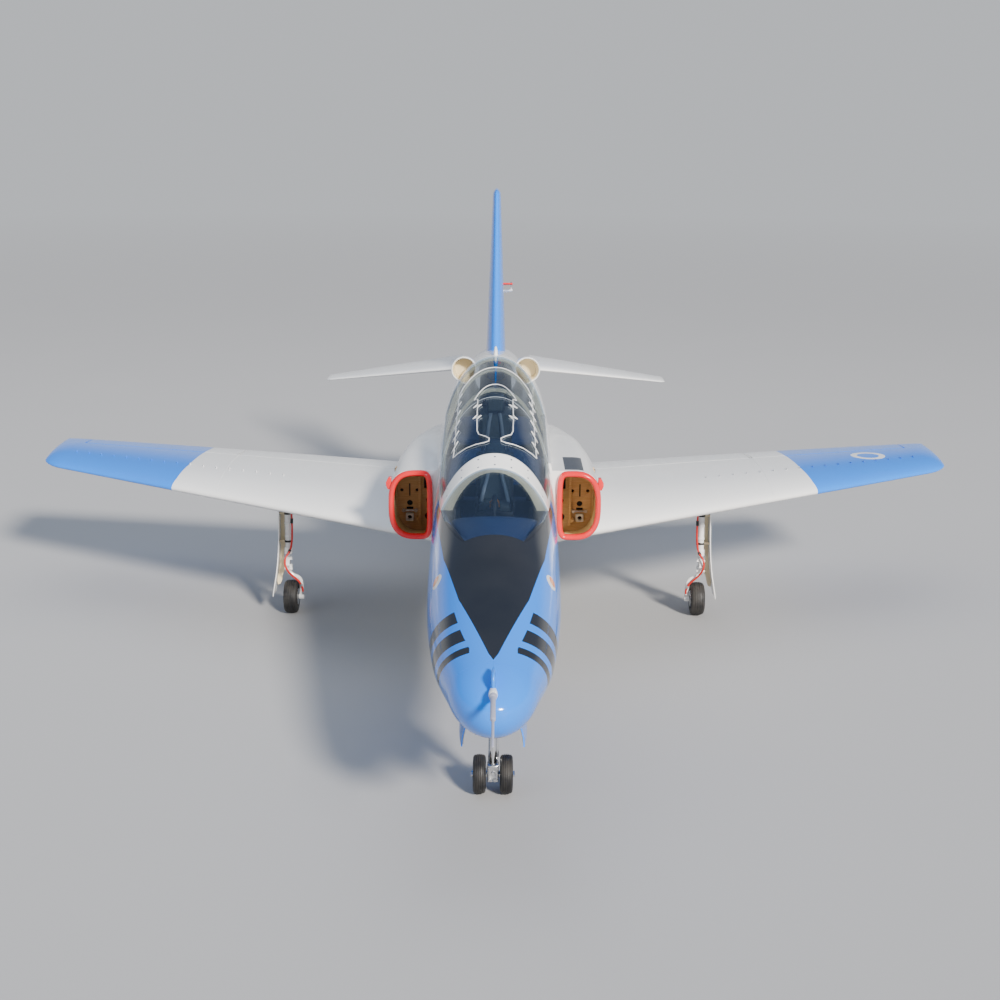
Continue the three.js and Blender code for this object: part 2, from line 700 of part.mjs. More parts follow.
/** Fuel tank, battery, tray, engine and thrust tube: everything carried inside the body. */
function internals() {
  const aft = new THREE.Vector3(0, 1, 0);
  const engineZ = 290;
  const engine = spun([
    [30, 0], [40, 4], [52, 30], [55, 60], [55, 146], [44, 172], [34, 180], [30, 180], [30, 0],
  ], at(0, 1258, engineZ), aft);
  const tubeStart = at(0, 1446, engineZ);
  const tubeEnd = at(0, 1992, 341);
  const run = tubeEnd.clone().sub(tubeStart);
  const length = run.length();
  const tube = spun([
    [46, 0], [38, 24], [37, length - 20], [42, length], [40, length], [35.5, length - 20],
    [36.5, 24], [44.5, 0], [46, 0],
  ], tubeStart, run.normalize());
  const tank = loft([[572, 44], [580, 54], [772, 54], [780, 44]].map(([station, halfWidth]) => (
    Array.from({ length: 20 }, (_, k) => {
      const angle = (2 * Math.PI * (k + 0.5)) / 20;
      return at(
        bulge(Math.cos(angle), 4) * halfWidth,
        station,
        246 + bulge(Math.sin(angle), 4) * (halfWidth - 14),
      );
    })
  )));
  return [
    piece('equipment_tray', block([-52, 52], [345, 800], [199, 202]), paint(PLYWOOD, 0.7)),
    piece('battery_pack', block([-36, 36], [352, 540], [202.4, 262]), paint(BLUE, 0.5)),
    piece('fuel_tank', tank, paint(WHITE, 0.4)),
    piece('turbine_engine', engine, paint(SILVER, 0.35, 0.9)),
    piece('thrust_tube', tube, paint(SILVER, 0.3, 0.9)),
  ];
}

// ---------------------------------------------------------------- wings and tail

/** Slot in the wing's lower skin for the main leg, its door and the retract unit. */
function legSlot(side) {
  const centre = MAIN_LEG_X - (MAIN_PIVOT_Z - MAIN_AXLE.z);
  const { station } = MAIN_AXLE;
  return block([side * centre, side * 438], [station - 27, station + 27], [150, 251]);
}

function wings(name, side) {
  const whole = cut(wingSolid(side), hullClear);
  const flapSpace = wingHingedSpace(side, FLAP_SPAN);
  const aileronSpace = wingHingedSpace(side, AILERON_SPAN);
  const tubeBore = wingTubeHalf(side, WING_TUBE_RADIUS + GAP, 412);
  const panel = cut(
    whole,
    wingCavity(side),
    wingHingedSpace(side, FLAP_SPAN, SURFACE_GAP, END_GAP),
    wingHingedSpace(side, AILERON_SPAN, SURFACE_GAP, END_GAP),
    tubeBore,
    wheelWell(side),
    legSlot(side),
  );
  return [
    piece(`wing_${name}`, panel, paint(WHITE)),
    piece(`flap_${name}`, whole.intersect(flapSpace), paint(WHITE)),
    piece(`aileron_${name}`, whole.intersect(aileronSpace), paint(WHITE)),
  ];
}

function wingTubeHalf(side, radius, reach) {
  const lift = 3;
  return rod(
    at(-side * 2, WING_TUBE_STATION, WING_Z + lift),
    at(side * reach, WING_TUBE_STATION, wingZ(reach) + lift),
    radius,
  );
}

function tail() {
  const topRound = 22;
  const fullness = (t) => Math.sqrt(Math.max(1 - t ** 2, 0.01));
  const finRings = [
    ...[400, 560, FIN_TIP.z - topRound].map((z) => finRing(z)),
    ...[0.5, 0.8, 1].map((t) => finRing(FIN_TIP.z - topRound * (1 - t), {}, fullness(t))),
  ];
  const whole = cut(solid(loft(finRings)), hullClear);
  const cavityOptions = { inset: SKIN, first: 0.06, last: 0.62, count: 9 };
  const cavity = solid(loft([390, 740].map((z) => finRing(z, cavityOptions))));
  const radii = RUDDER_Z.map((z) => halfThickness(FIN_HINGE) * finAt(z).thickness * finAt(z).chord);
  const [low, high] = RUDDER_Z.map(finHinge);
  const across = new THREE.Vector3(1, 0, 0);
  const armSlot = leverPlate(servoPivot, [[0, -20], [0, 20], [30, 20], [30, -20]], 8);
  const rudderGap = hingedSpace(low, high, radii, across, SURFACE_GAP, END_GAP);
  const fin = cut(whole, cavity, rudderGap, armSlot);
  const rudder = whole.intersect(hingedSpace(low, high, radii, across));

  const shaft = rod(at(-100, STAB_PIVOT, STAB_ROOT_Z), at(100, STAB_PIVOT, STAB_ROOT_Z), 5);
  const socket = rod(at(-102, STAB_PIVOT, STAB_ROOT_Z), at(102, STAB_PIVOT, STAB_ROOT_Z), 5 + GAP);
  const stabs = SIDES.map(([name, side]) => {
    const roundFrom = STAB_TIP.x - 14;
    const rings = [STAB_ROOT.x, roundFrom].map((x) => stabRing(x, side));
    const tips = [0.6, 1].map((t) => stabRing(mix(roundFrom, STAB_TIP.x, t), side, {}, fullness(t)));
    const hollow = { inset: SKIN, first: 0.08, last: 0.7, count: 7 };
    const core = solid(loft([STAB_ROOT.x - 5, roundFrom - 30].map((x) => stabRing(x, side, hollow))));
    return piece(`stab_${name}`, cut(solid(loft([...rings, ...tips])), core, socket), paint(WHITE));
  });
  return [
    piece('fin', fin, paint(BLUE)),
    piece('rudder', union(rudder, rudderHorn()), paint(BLUE)),
    piece('stab_shaft', shaft, paint(SILVER, 0.3, 0.9)),
    ...stabs,
    ...rudderDrive(),
  ];
}

/** Unit vector along the rudder's hinge line, pointing up. */
const hingeUp = finHinge(RUDDER_Z[1]).sub(finHinge(RUDDER_Z[0])).normalize();
const hingeBack = hingeUp.clone().cross(new THREE.Vector3(1, 0, 0));
/** The servo's shaft, placed so that its arm, the pushrod and the horn form a parallelogram. */
const servoPivot = finHinge(HORN_Z).addScaledVector(hingeBack, -PUSHROD_LENGTH);

/** Flat plate in the plane square to the rudder's hinge line, centred on that plane. */
function leverPlate(origin, outline, thickness = 3) {
  const shape = new THREE.Shape(outline.map(([x, back]) => new THREE.Vector2(x, back)));
  const plate = new THREE.ExtrudeGeometry(shape, { depth: thickness, bevelEnabled: false });
  plate.translate(0, 0, -thickness / 2);
  const right = new THREE.Vector3(1, 0, 0);
  plate.applyMatrix4(new THREE.Matrix4().makeBasis(right, hingeBack, hingeUp));
  return solid(plate.translate(origin.x, origin.y, origin.z));
}

function rudderHorn() {
  const outline = [
    [2, 8], [2, 22], [10, 22], [HORN_REACH + 3, 3], [HORN_REACH + 3, -3], [HORN_REACH - 3, -3],
  ];
  return leverPlate(finHinge(HORN_Z), outline);
}

/** Servo in the fin, its arm through a slot in the skin, and the rod back to the horn. */
function rudderDrive() {
  const hinge = finHinge(HORN_Z);
  const pivot = servoPivot;
  const armOutline = [[-5, -5], [-5, 5], [6, 5], [HORN_REACH + 3, 3], [HORN_REACH + 3, -3], [6, -5]];
  const along = (distance) => pivot.clone().addScaledVector(hingeUp, distance);
  const servo = union(
    rod(along(-44), along(-8), 6),
    rod(along(-10), along(-2), 3.4),
  );
  const lift = hingeUp.clone().multiplyScalar(3.1);
  const tipOffset = new THREE.Vector3(HORN_REACH, 0, 0);
  const rodStart = pivot.clone().add(tipOffset).add(lift);
  const rodEnd = hinge.clone().add(tipOffset).add(lift);
  const overhang = rodEnd.clone().sub(rodStart).normalize().multiplyScalar(3);
  return [
    piece('rudder_servo', servo, paint(BLACK, 0.5)),
    piece('rudder_servo_arm', leverPlate(pivot, armOutline), paint(RED)),
    piece('rudder_pushrod', rod(
      rodStart.sub(overhang),
      rodEnd.add(overhang),
      1.2,
    ), paint(SILVER, 0.3, 0.9)),
  ];
}

// ---------------------------------------------------------------- landing gear

/** Tyre as a ring round the X axis, with a flat on the ground when it stands at rest. */
function tyre(centre, radius, rim, halfWidth) {
  const tread = radius / Math.cos(Math.PI / WHEEL_SEGMENTS);
  const wall = mix(rim, tread, 0.5);
  const half = [[tread, 0.5], [wall, 1], [rim, 0.7]];
  const profile = [
    ...half.map(([r, w]) => [r, -w * halfWidth]).reverse(),
    ...half.map(([r, w]) => [r, w * halfWidth]),
  ];
  profile.push(profile[0]);
  const axis = new THREE.Vector3(1, 0, 0);
  return spun(profile, centre, axis, WHEEL_SEGMENTS, Math.PI / WHEEL_SEGMENTS);
}

/** U-shaped retract bracket, open downward and on the side that the leg folds towards. */
function mainRetract(side) {
  const { station } = MAIN_AXLE;
  return cut(
    block([side * 384, side * 434], [station - 19, station + 19], [MAIN_PIVOT_Z - 9, 256]),
    block([side * 380, side * 412], [station - 14, station + 14], [200, MAIN_PIVOT_Z + 11]),
  );
}

function mainGear(name, side) {
  const { station, z: axleZ, x: wheelX } = MAIN_AXLE;
  const legX = side * MAIN_LEG_X;
  const up = new THREE.Vector3(0, 0, 1);
  const [legEnd, boreTop, legTop] = [118, 201, 232];
  const leg = union(
    spun([
      [4.7, legEnd], [9, legEnd], [9, legEnd + 12], [7, legEnd + 14], [7, legTop], [0, legTop],
      [0, boreTop], [4.7, boreTop], [4.7, legEnd],
    ], at(legX, station, 0), up),
    rod(at(legX, station - 13.5, MAIN_PIVOT_Z), at(legX, station + 13.5, MAIN_PIVOT_Z), 7),
  );
  const elbow = at(side * 373, station, 71);
  const knee = at(legX, station, 84);
  const hubEnd = at(side * 372.5, station, axleZ);
  const piston = union(
    rod(knee, at(legX, station, 186), 4.3),
    ball(knee, 6),
    rod(knee, elbow, 5, 5, 8),
    ball(elbow, 5),
    rod(elbow, hubEnd, 5, 5, 8),
    rod(hubEnd, at(side * 405, station, axleZ), 3),
  );
  const centre = at(side * wheelX, station, axleZ);
  const rim = 19;
  const hub = spun([
    [3.4, -10.5], [9, -10.5], [11, -6], [rim - GAP, -9], [rim - GAP, 9], [11, 6], [9, 10.5],
    [3.4, 10.5], [3.4, -10.5],
  ], centre, new THREE.Vector3(1, 0, 0));
  const door = loft([[222, 8, 13], [205, 8, 17], [150, 10, 19], [98, 14, 22], [40, 26, 24]].map(
    ([z, offset, halfWidth]) => {
      const inner = side * (MAIN_LEG_X + offset);
      const outer = side * (MAIN_LEG_X + offset + 2);
      return [
        at(inner, station - halfWidth, z), at(inner + side * 1.5, station, z),
        at(inner, station + halfWidth, z), at(outer, station + halfWidth, z),
        at(outer + side * 1.5, station, z), at(outer, station - halfWidth, z),
      ];
    },
  ));
  return [
    piece(`main_retract_${name}`, mainRetract(side), paint(GREY, 0.4, 0.8)),
    piece(`main_leg_${name}`, leg, paint(WHITE, 0.3)),
    piece(`main_piston_${name}`, piston, paint(SILVER, 0.2, 0.9)),
    piece(`main_hub_${name}`, hub, paint(SILVER, 0.3, 0.9)),
    piece(`main_tyre_${name}`, tyre(centre, MAIN_WHEEL_RADIUS, rim, 13), paint(BLACK, 0.8)),
    piece(`main_leg_door_${name}`, door, paint(WHITE)),
  ];
}

/** Bay door made from the hull's own skin, turned down about its hinge line to hang open. */
function noseDoor(name, side) {
  const { front, back } = NOSE_DOOR;
  const skin = cut(
    bodySolid(front.station, back.station),
    bodySolid(front.station - 10, back.station + 10, 2),
  ).intersect(noseBayColumn(side, 0.6, 0.6));
  const [hinge, end] = [front, back].map(({ station, x }) => (
    at(side * x, station, undersideZ(x, station) - DOOR_HINGE_DROP)
  ));
  const axis = end.clone().sub(hinge).normalize();
  const door = piece(`nose_door_${name}`, skin, paint(WHITE));
  door.geometry.translate(-hinge.x, -hinge.y, -hinge.z);
  door.geometry.applyMatrix4(new THREE.Matrix4().makeRotationAxis(axis, (-side * Math.PI) / 2));
  door.geometry.translate(hinge.x, hinge.y, hinge.z);
  return door;
}

function noseGear() {
  const { station, z: axleZ } = NOSE_AXLE;
  const pivotZ = NOSE_PIVOT_Z;
  const up = new THREE.Vector3(0, 0, 1);
  const acrossX = new THREE.Vector3(1, 0, 0);
  const bracket = cut(
    block([-20, 20], [station - 22, station + 26], [pivotZ - 10, pivotZ + 22]),
    block([-15.5, 15.5], [station - 30, station + 18], [pivotZ - 40, pivotZ + 18]),
  );
  const trunnion = cut(
    union(
      block([-10, 10], [station - 10, station + 10], [pivotZ - 11, pivotZ + 9]),
      rod(at(-15, station, pivotZ), at(15, station, pivotZ), 4.5),
    ),
    rod(at(0, station, pivotZ - 30), at(0, station, pivotZ + 20), 5.5),
  );
  const [strutEnd, shoulder, boreTop] = [104, pivotZ - 12, 178];
  const strut = union(
    spun([
      [5.5, strutEnd], [10, strutEnd], [10, strutEnd + 8], [8, strutEnd + 10], [8, shoulder],
      [5, shoulder], [5, pivotZ + 7], [0, pivotZ + 7], [0, boreTop], [5.5, boreTop],
      [5.5, strutEnd],
    ], at(0, station, 0), up),
    block([-13.5, 13.5], [station - 3, station + 3], [shoulder - 9, shoulder - 4]),
  );
  const piston = cut(
    union(
      rod(at(0, station, 40), at(0, station, 166), 5),
      block([-8, 8], [station - 9, station + 9], [axleZ - 8, axleZ + 16]),
    ),
    rod(at(-20, station, axleZ), at(20, station, axleZ), 3.5),
  );
  const rim = 16;
  const hubs = [1, -1].map((side) => spun(
    [[0, -7], [6, -7.5], [rim - GAP, -5.5], [rim - GAP, 5.5], [6, 8.5], [0, 9.5]],
    at(side * NOSE_WHEEL_X, station, axleZ),
    new THREE.Vector3(side, 0, 0),
  ));
  const axle = union(
    rod(at(-NOSE_WHEEL_X, station, axleZ), at(NOSE_WHEEL_X, station, axleZ), 3),
    ...hubs,
  );
  const tyres = SIDES.map(([name, side]) => piece(
    `nose_tyre_${name}`,
    tyre(at(side * NOSE_WHEEL_X, station, axleZ), NOSE_WHEEL_RADIUS, rim, 9),
    paint(BLACK, 0.8),
  ));
  return [
    piece('nose_retract_unit', bracket, paint(GREY, 0.4, 0.8)),
    piece('nose_trunnion', trunnion, paint(SILVER, 0.3, 0.9)),
    piece('nose_strut', strut, paint(SILVER, 0.2, 0.9)),
    piece('nose_piston', piston, paint(SILVER, 0.2, 0.9)),
    piece('nose_axle', axle, paint(SILVER, 0.3, 0.9)),
    ...tyres,
    ...SIDES.map(([name, side]) => noseDoor(name, side)),
  ];
}

// ---------------------------------------------------------------- assembly

const wingTube = union(...SIDES.map(([, side]) => wingTubeHalf(side, WING_TUBE_RADIUS, 405)));

const group = new THREE.Group();
group.name = 'jet_trainer';
group.add(
  ...fuselage(),
  ...pitotProbe(),
  ...canopyAndWindscreen(),
  ...cockpit(),
  ...mainFormer(),
  ...internals(),
  piece('wing_tube', wingTube, paint(SILVER, 0.3, 0.9)),
  ...SIDES.flatMap(([name, side]) => [...intakes(name, side), ...wings(name, side)]),
  ...tail(),
  ...noseGear(),
  ...SIDES.flatMap(([name, side]) => mainGear(name, side)),
);

export default group;
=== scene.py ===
"""Looks of a large radio-controlled jet trainer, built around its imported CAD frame.

Design lengths are millimetres and stations (distance aft of the nose tip); frame_points()
turns them into the row frame's metres. The nose points along -Y, up is +Z.
"""

import math

import bpy
import numpy as np
from mathutils import Matrix, Vector


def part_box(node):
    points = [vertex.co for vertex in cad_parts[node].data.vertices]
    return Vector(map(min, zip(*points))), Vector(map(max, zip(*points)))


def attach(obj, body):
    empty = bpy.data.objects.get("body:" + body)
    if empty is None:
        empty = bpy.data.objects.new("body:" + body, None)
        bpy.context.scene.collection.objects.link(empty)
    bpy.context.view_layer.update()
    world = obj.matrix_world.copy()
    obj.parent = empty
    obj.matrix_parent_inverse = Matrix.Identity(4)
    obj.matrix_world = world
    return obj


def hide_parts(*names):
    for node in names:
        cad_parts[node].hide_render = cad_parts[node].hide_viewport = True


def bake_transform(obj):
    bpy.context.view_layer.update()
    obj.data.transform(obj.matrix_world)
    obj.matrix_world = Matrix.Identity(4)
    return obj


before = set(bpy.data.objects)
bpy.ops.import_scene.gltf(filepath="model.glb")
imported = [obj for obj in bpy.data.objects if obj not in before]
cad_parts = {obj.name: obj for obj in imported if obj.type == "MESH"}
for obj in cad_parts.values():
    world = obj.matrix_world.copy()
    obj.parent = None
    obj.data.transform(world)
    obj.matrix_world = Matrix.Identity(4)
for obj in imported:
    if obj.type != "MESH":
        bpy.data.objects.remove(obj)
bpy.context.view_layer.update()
MM = 0.001
PROBE_TIP_STATION = -153.0
MID = PROBE_TIP_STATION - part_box("pitot_probe")[0].y / MM
SIDES = (("left", 1), ("right", -1))
POINT = 0.02    # radius at which a turned profile closes to a point


# ------------------------------------------------------------------ design lines

def fair(*pairs):
    """Curve through (station, value) pairs that never swings past them."""
    s, v = np.array(pairs, float).T
    secant = np.diff(v) / np.diff(s)
    slope = np.concatenate([secant[:1], np.zeros(len(s) - 2), secant[-1:]])
    for i in range(1, len(s) - 1):
        before, after = secant[i - 1], secant[i]
        slope[i] = 0 if before * after <= 0 else 2 * before * after / (before + after)

    def line(station):
        i = int(np.clip(np.searchsorted(s, station, side="right") - 1, 0, len(s) - 2))
        width = s[i + 1] - s[i]
        t = min(max((station - s[i]) / width, 0), 1)
        rise = (3 - 2 * t) * t * t
        return v[i] + (v[i + 1] - v[i]) * rise + width * t * (1 - t) * (
            (1 - t) * slope[i] - t * slope[i + 1])
    return line


NOSE_ROUND, NOSE_TIP_Z, NOSE_EXPONENT = 70, 240, 2.4
HULL_END, SKIN, GAP = 1975, 2.5, 0.4
UPPER, LOWER = 2.1, 2.4
JOINTS = (640, 1340)
WINDSCREEN_FRONT, CANOPY_FRONT, CANOPY_END = 374, 537, 1214.6
HOOP_WIDTH, SILL_RAIL, GLAZING = 34, 9, 2
TRUNK_START, TRUNK_END, LIP, DUCT_INNER, FORMER = 800, 1520, 793, 104, 915
CLAMP_Z, PROBE_Z = 261.5, 264
top_line = fair(
    (NOSE_ROUND, 279), (192, 307), (288, 333), (340, 350), (374, 361), (430, 379), (500, 406),
    (556, 429), (590, 444), (650, 462), (770, 481), (900, 491), (1050, 495), (1215, 492),
    (1342, 479), (1534, 456), (1725, 433), (1917, 410), (HULL_END, 394))
bottom_line = fair(
    (NOSE_ROUND, 189), (192, 179), (312, 177), (575, 182), (805, 188), (1150, 192),
    (1342, 196), (1534, 211), (1725, 240), (1917, 272), (HULL_END, 286))
width_line = fair(
    (NOSE_ROUND, 56), (192, 80), (383, 95), (575, 99), (795, 101), (1050, 104), (1342, 108),
    (1438, 106), (1629, 92), (1879, 69), (HULL_END, 52))
waist_line = fair(
    (NOSE_ROUND, 237), (192, 238), (383, 250), (575, 258), (800, 265), (1054, 270),
    (1342, 285), (1629, 305), (1879, 330), (HULL_END, 340))
trunk_outer = fair(
    (800, 178), (950, 179), (1100, 172), (1250, 153), (1400, 126), (1520, 86))
trunk_low = fair(
    (800, 241), (900, 222), (980, 210), (1100, 205), (1250, 203), (1400, 212), (1520, 266))
trunk_high = fair((800, 359), (950, 360), (1100, 354), (1250, 340), (1400, 322), (1520, 300))


def mix(a, b, t):
    return a + (b - a) * t


def unit(v):
    return np.asarray(v, float) / np.linalg.norm(v)


def turn(count, shift=0.0):
    """Even angles once round a circle."""
    return 2 * np.pi * (np.arange(count) + shift) / count


def at_station(station, x, z):
    """Outline of x and z values, set across the body at one station."""
    return np.stack([x, np.full(len(x), float(station)), z], 1)


def smooth_step(a, b, x):
    t = min(max((x - a) / (b - a), 0), 1)
    return t * t * (3 - 2 * t)


def bulge(value, exponent):
    return np.sign(value) * np.abs(value) ** (2 / exponent)


def sill_z(station):
    return 355 + (station - 565) * 0.026


def body_size(station):
    """Half width, top, bottom and widest height of the body at a station."""
    lines = (width_line, top_line, bottom_line, waist_line)
    if station >= NOSE_ROUND:
        return tuple(line(station) for line in lines)
    r = (1 - (1 - station / NOSE_ROUND) ** NOSE_EXPONENT) ** (1 / NOSE_EXPONENT)
    half, top, bottom, waist = (
        line(NOSE_ROUND) + (line(NOSE_ROUND + 1) - line(NOSE_ROUND)) * (station - NOSE_ROUND)
        for line in lines)
    return half * r, *(mix(NOSE_TIP_Z, z, r) for z in (top, bottom, waist))


def lower_exponent(station):
    return mix(2.0, LOWER, smooth_step(90, 420, station))


def body_ring(station, inset, side_inset=None):
    half, top, bottom, waist = body_size(min(station, HULL_END))
    a = turn(128, 0.5)
    across, up = np.cos(a), np.sin(a)
    e = np.where(up > 0, UPPER, lower_exponent(station))
    height = np.where(up > 0, top - waist, waist - bottom) - inset
    width = half - (inset if side_inset is None else side_inset)
    return at_station(station, bulge(across, e) * width, waist + bulge(up, e) * height)


def on_body(station, x, inset=0.0, upper=True):
    """Point of the body's surface at a station and a distance from the centre line."""
    half, top, bottom, waist = body_size(station)
    e = UPPER if upper else lower_exponent(station)
    height = (top - waist if upper else waist - bottom) - inset
    u = (1 - min(abs(x) / (half - inset), 1) ** e) ** (1 / e)
    return np.array([x, station, waist + (height * u if upper else -height * u)])


def body_normal(station, x):
    """Outward direction of the body's upper surface."""
    a = on_body(station + 2, x) - on_body(station, x)
    b = on_body(station, x + 1.0) - on_body(station, x - 1.0)
    n = unit(np.cross(b, a))
    return n if n[2] > 0 else -n


def stations(start, end, step=10.0):
    """Even stations between two ends, closer together over the rounded nose."""
    found = list(np.linspace(start, end, max(int((end - start) / step), 1) + 1))
    if start < NOSE_ROUND:
        curve = [NOSE_ROUND * (1 - math.cos(math.pi / 2 * i / 18)) for i in range(1, 18)]
        found = [s for s in found if s >= NOSE_ROUND] + [start]
        found += [s for s in curve if start < s < end]
    return sorted(set(round(s, 3) for s in found))


def d_ring(station, side, inner_x, inset, count=72):
    """D-shaped intake section: nearly flat inboard side, full round outboard side."""
    low, high = trunk_low(station) + inset, trunk_high(station) - inset
    inner, outer = inner_x + inset, trunk_outer(station) - inset
    widest = mix(DUCT_INNER, trunk_outer(station), 0.35)
    a = turn(count, 0.5)
    across = np.cos(a)
    reach = np.where(across > 0, outer - widest, widest - inner)
    e = np.where(across > 0, 2.8, 5.0)
    return at_station(station, side * (widest + bulge(across, e) * reach),
                      (low + high) / 2 + bulge(np.sin(a), e) * (high - low) / 2)


def reach_of(ring, angles, centre_z):
    """How far a closed outline reaches from (0, centre_z) along each angle."""
    p = ring[:, [0, 2]] - [0, centre_z]
    edge = np.roll(p, -1, axis=0) - p
    ray = np.stack([np.cos(angles), np.sin(angles)], 1)[:, None, :]
    cross = ray[..., 0] * edge[:, 1] - ray[..., 1] * edge[:, 0]
    cross = np.where(np.abs(cross) < 1e-9, 1e-9, cross)
    far = (p[:, 0] * edge[:, 1] - p[:, 1] * edge[:, 0]) / cross
    along = (p[:, 0] * ray[..., 1] - p[:, 1] * ray[..., 0]) / cross
    hit = (along >= 0) & (along <= 1) & (far > 0)
    return np.where(hit, far, 0).max(axis=1)


def hull_ring(station, inset):
    """Body and both side trunks as one outline with a small fillet between them."""
    amidships = smooth_step(200, 700, station) * (1 - smooth_step(1530, 1800, station))
    centre = mix(body_size(station)[3], 285, amidships)
    angles = turn(240, 0.5)
    reach = reach_of(body_ring(station, inset), angles, centre)
    if TRUNK_START - 2 <= station <= TRUNK_END:
        fillet = 1 + 6 * smooth_step(810, 900, station) * (1 - smooth_step(1380, 1500, station))
        ring = d_ring(max(station, TRUNK_START), 1, 20, inset)
        side = reach_of(ring, angles, centre)
        side = np.maximum(side, reach_of(ring * [-1, 1, 1], angles, centre))
        gap = np.abs(reach - side)
        reach = np.maximum(reach, side) + fillet * np.log1p(np.exp(-gap / fillet))
    return at_station(station, reach * np.cos(angles), centre + reach * np.sin(angles))


# ------------------------------------------------------------------ wing and tail lines

HALF_SPAN, TIP_ROUND, CAMBER = 900, 43, 0.014
HINGE, FLAP_SPAN, AILERON_SPAN = 0.74, (192, 512), (520, 846)
SURFACE_GAP, END_GAP = 1.2, 3
FIN_ROOT, FIN_TIP = (430, 1545, 360, 0.118), (780, 1850, 144, 0.122)
FIN_HINGE, RUDDER_Z, HORN_Z = 0.7, (470, 748), 552
STAB_ROOT, STAB_TIP = (80, 1745, 220, 0.085), (411, 1979, 84, 0.08)
STAB_PIVOT, STAB_Z, TAIL_TIP_ROUND = 1845, 386, 14


def half_thickness(x):
    return 5 * (0.2969 * np.sqrt(x) - 0.126 * x - 0.3516 * x ** 2 + 0.2843 * x ** 3
                - 0.1015 * x ** 4)


def section(chord, thickness, camber=0.0, inset=0.0, first=0.0, last=1.0, count=40):
    """Aerofoil outline as (chord fraction, height over chord)."""
    f = mix(first, last, (1 - np.cos(np.pi * np.arange(count) / (count - 1))) / 2)
    height = np.maximum(half_thickness(f) * thickness - inset / chord, 0.0005)
    mean = 4 * camber * f * (1 - f)
    lower = np.stack([f, mean - height], 1)[::-1]
    return np.concatenate([np.stack([f, mean + height], 1), lower[:-1] if first == 0 else lower])


def wing_values(x):
    """Leading-edge station, chord, thickness, height and twist of the wing at x."""
    t = x / HALF_SPAN
    return mix(766, 1270, t), mix(577, 208, t), mix(0.1, 0.09, t), 234 + 0.035 * x, mix(
        0.014, 0.05, t)


def tip_fullness(x):
    return math.sqrt(max(1 - (max(x - HALF_SPAN + TIP_ROUND, 0) / TIP_ROUND) ** 2, 0.01))


def wing_ring(x, side, **options):
    lead, chord, thickness, z, twist = wing_values(x)
    left = tip_fullness(x)
    nose_cut, tail_cut = 0.16 * (1 - left), 0.03 * (1 - left)
    f, h = section(chord, thickness * math.sqrt(left), CAMBER, **options).T
    along = mix(nose_cut, 1 - tail_cut, f)
    up = h * chord * (1 - nose_cut - tail_cut) + (along - 0.25) * chord * twist
    return np.stack([np.full(len(f), side * float(x)), lead + along * chord, z + up], 1)


def on_wing(x, side, f, upper=True):
    """Point of the wing's surface at a chord fraction, or of its mean line if upper is None."""
    lead, chord, thickness, z, twist = wing_values(x)
    h = 4 * CAMBER * f * (1 - f)
    if upper is not None:
        h += half_thickness(f) * thickness * (1 if upper else -1)
    return np.array([side * x, lead + f * chord, z + h * chord + (f - 0.25) * chord * twist])


def tapered(root, tip, place):
    """Leading edge, chord and thickness between a root and a tip section."""
    t = (place - root[0]) / (tip[0] - root[0])
    return [mix(a, b, t) for a, b in zip(root[1:], tip[1:])]


def tail_section(root, tip, place, full, options):
    """Stations and half thicknesses of a tail surface; it shrinks as full drops below 1."""
    lead, chord, thickness = tapered(root, tip, place)
    shrink = mix(0.8, 1, full)
    f, h = section(chord, thickness * full, **options).T
    return lead + chord * (1 - shrink) * 0.7 + f * chord * shrink, h * chord


def fin_ring(z, full=1.0, **options):
    s, h = tail_section(FIN_ROOT, FIN_TIP, z, full, options)
    return np.stack([h, s, np.full(len(s), float(z))], 1)


def fin_hinge(z):
    lead, chord, _ = tapered(FIN_ROOT, FIN_TIP, z)
    return np.array([0, lead + FIN_HINGE * chord, z])


def stab_ring(x, side, full):
    s, h = tail_section(STAB_ROOT, STAB_TIP, x, full, {})
    z = STAB_Z - 0.2 * (x - STAB_ROOT[0]) + h
    return np.stack([np.full(len(s), side * float(x)), s, z], 1)


def rounding(end, depth, count, power=2.0):
    """(place, fullness) steps that close a tail surface over its rounded tip."""
    ts = [math.sin(math.pi / 2 * i / count) for i in range(1, count + 1)]
    return [(end - depth * (1 - t), max(1 - t ** power, 0.01) ** 0.5) for t in ts]


# ------------------------------------------------------------------ mesh helpers

def frame_points(points):
    p = np.asarray(points, float).reshape(-1, 3) * MM
    p[:, 1] -= MID * MM
    return p


def placed(name, data):
    """New object in the scene."""
    o = bpy.data.objects.new(name, data)
    bpy.context.scene.collection.objects.link(o)
    return o


def new_object(name, points, faces):
    mesh = bpy.data.meshes.new(name)
    mesh.from_pydata(frame_points(points).tolist(), [], [list(map(int, f)) for f in faces])
    mesh.validate()
    return shade(placed(name, mesh))


def shade(o, angle=32.0):
    """Smooth shading with sharp edges over an angle."""
    o.data.polygons.foreach_set("use_smooth", [True] * len(o.data.polygons))
    o.data.set_sharp_from_angle(angle=math.radians(angle))
    return o


def loft(name, rings, ringed=False):
    """Skin over rings of equal point counts; an open one is capped."""
    rings = [np.asarray(r, float) for r in rings]
    rows, count = len(rings), len(rings[0])
    faces = []
    for i in range(rows if ringed else rows - 1):
        a, b = i * count, ((i + 1) % rows) * count
        for k in range(count):
            n = (k + 1) % count
            faces.append((a + k, a + n, b + n, b + k))
    if not ringed:
        last = (rows - 1) * count
        faces.append(tuple(range(count))[::-1])
        faces.append(tuple(range(last, last + count)))
    points = np.concatenate(rings)
    p = points - points.mean(0)
    volume = sum(np.dot(p[f[0]], np.cross(p[f[1]], p[f[2]])) + np.dot(
        p[f[0]], np.cross(p[f[2]], p[f[3]])) for f in faces if len(f) == 4)
    if volume < 0:
        faces = [f[::-1] for f in faces]
    return new_object(name, points, faces)


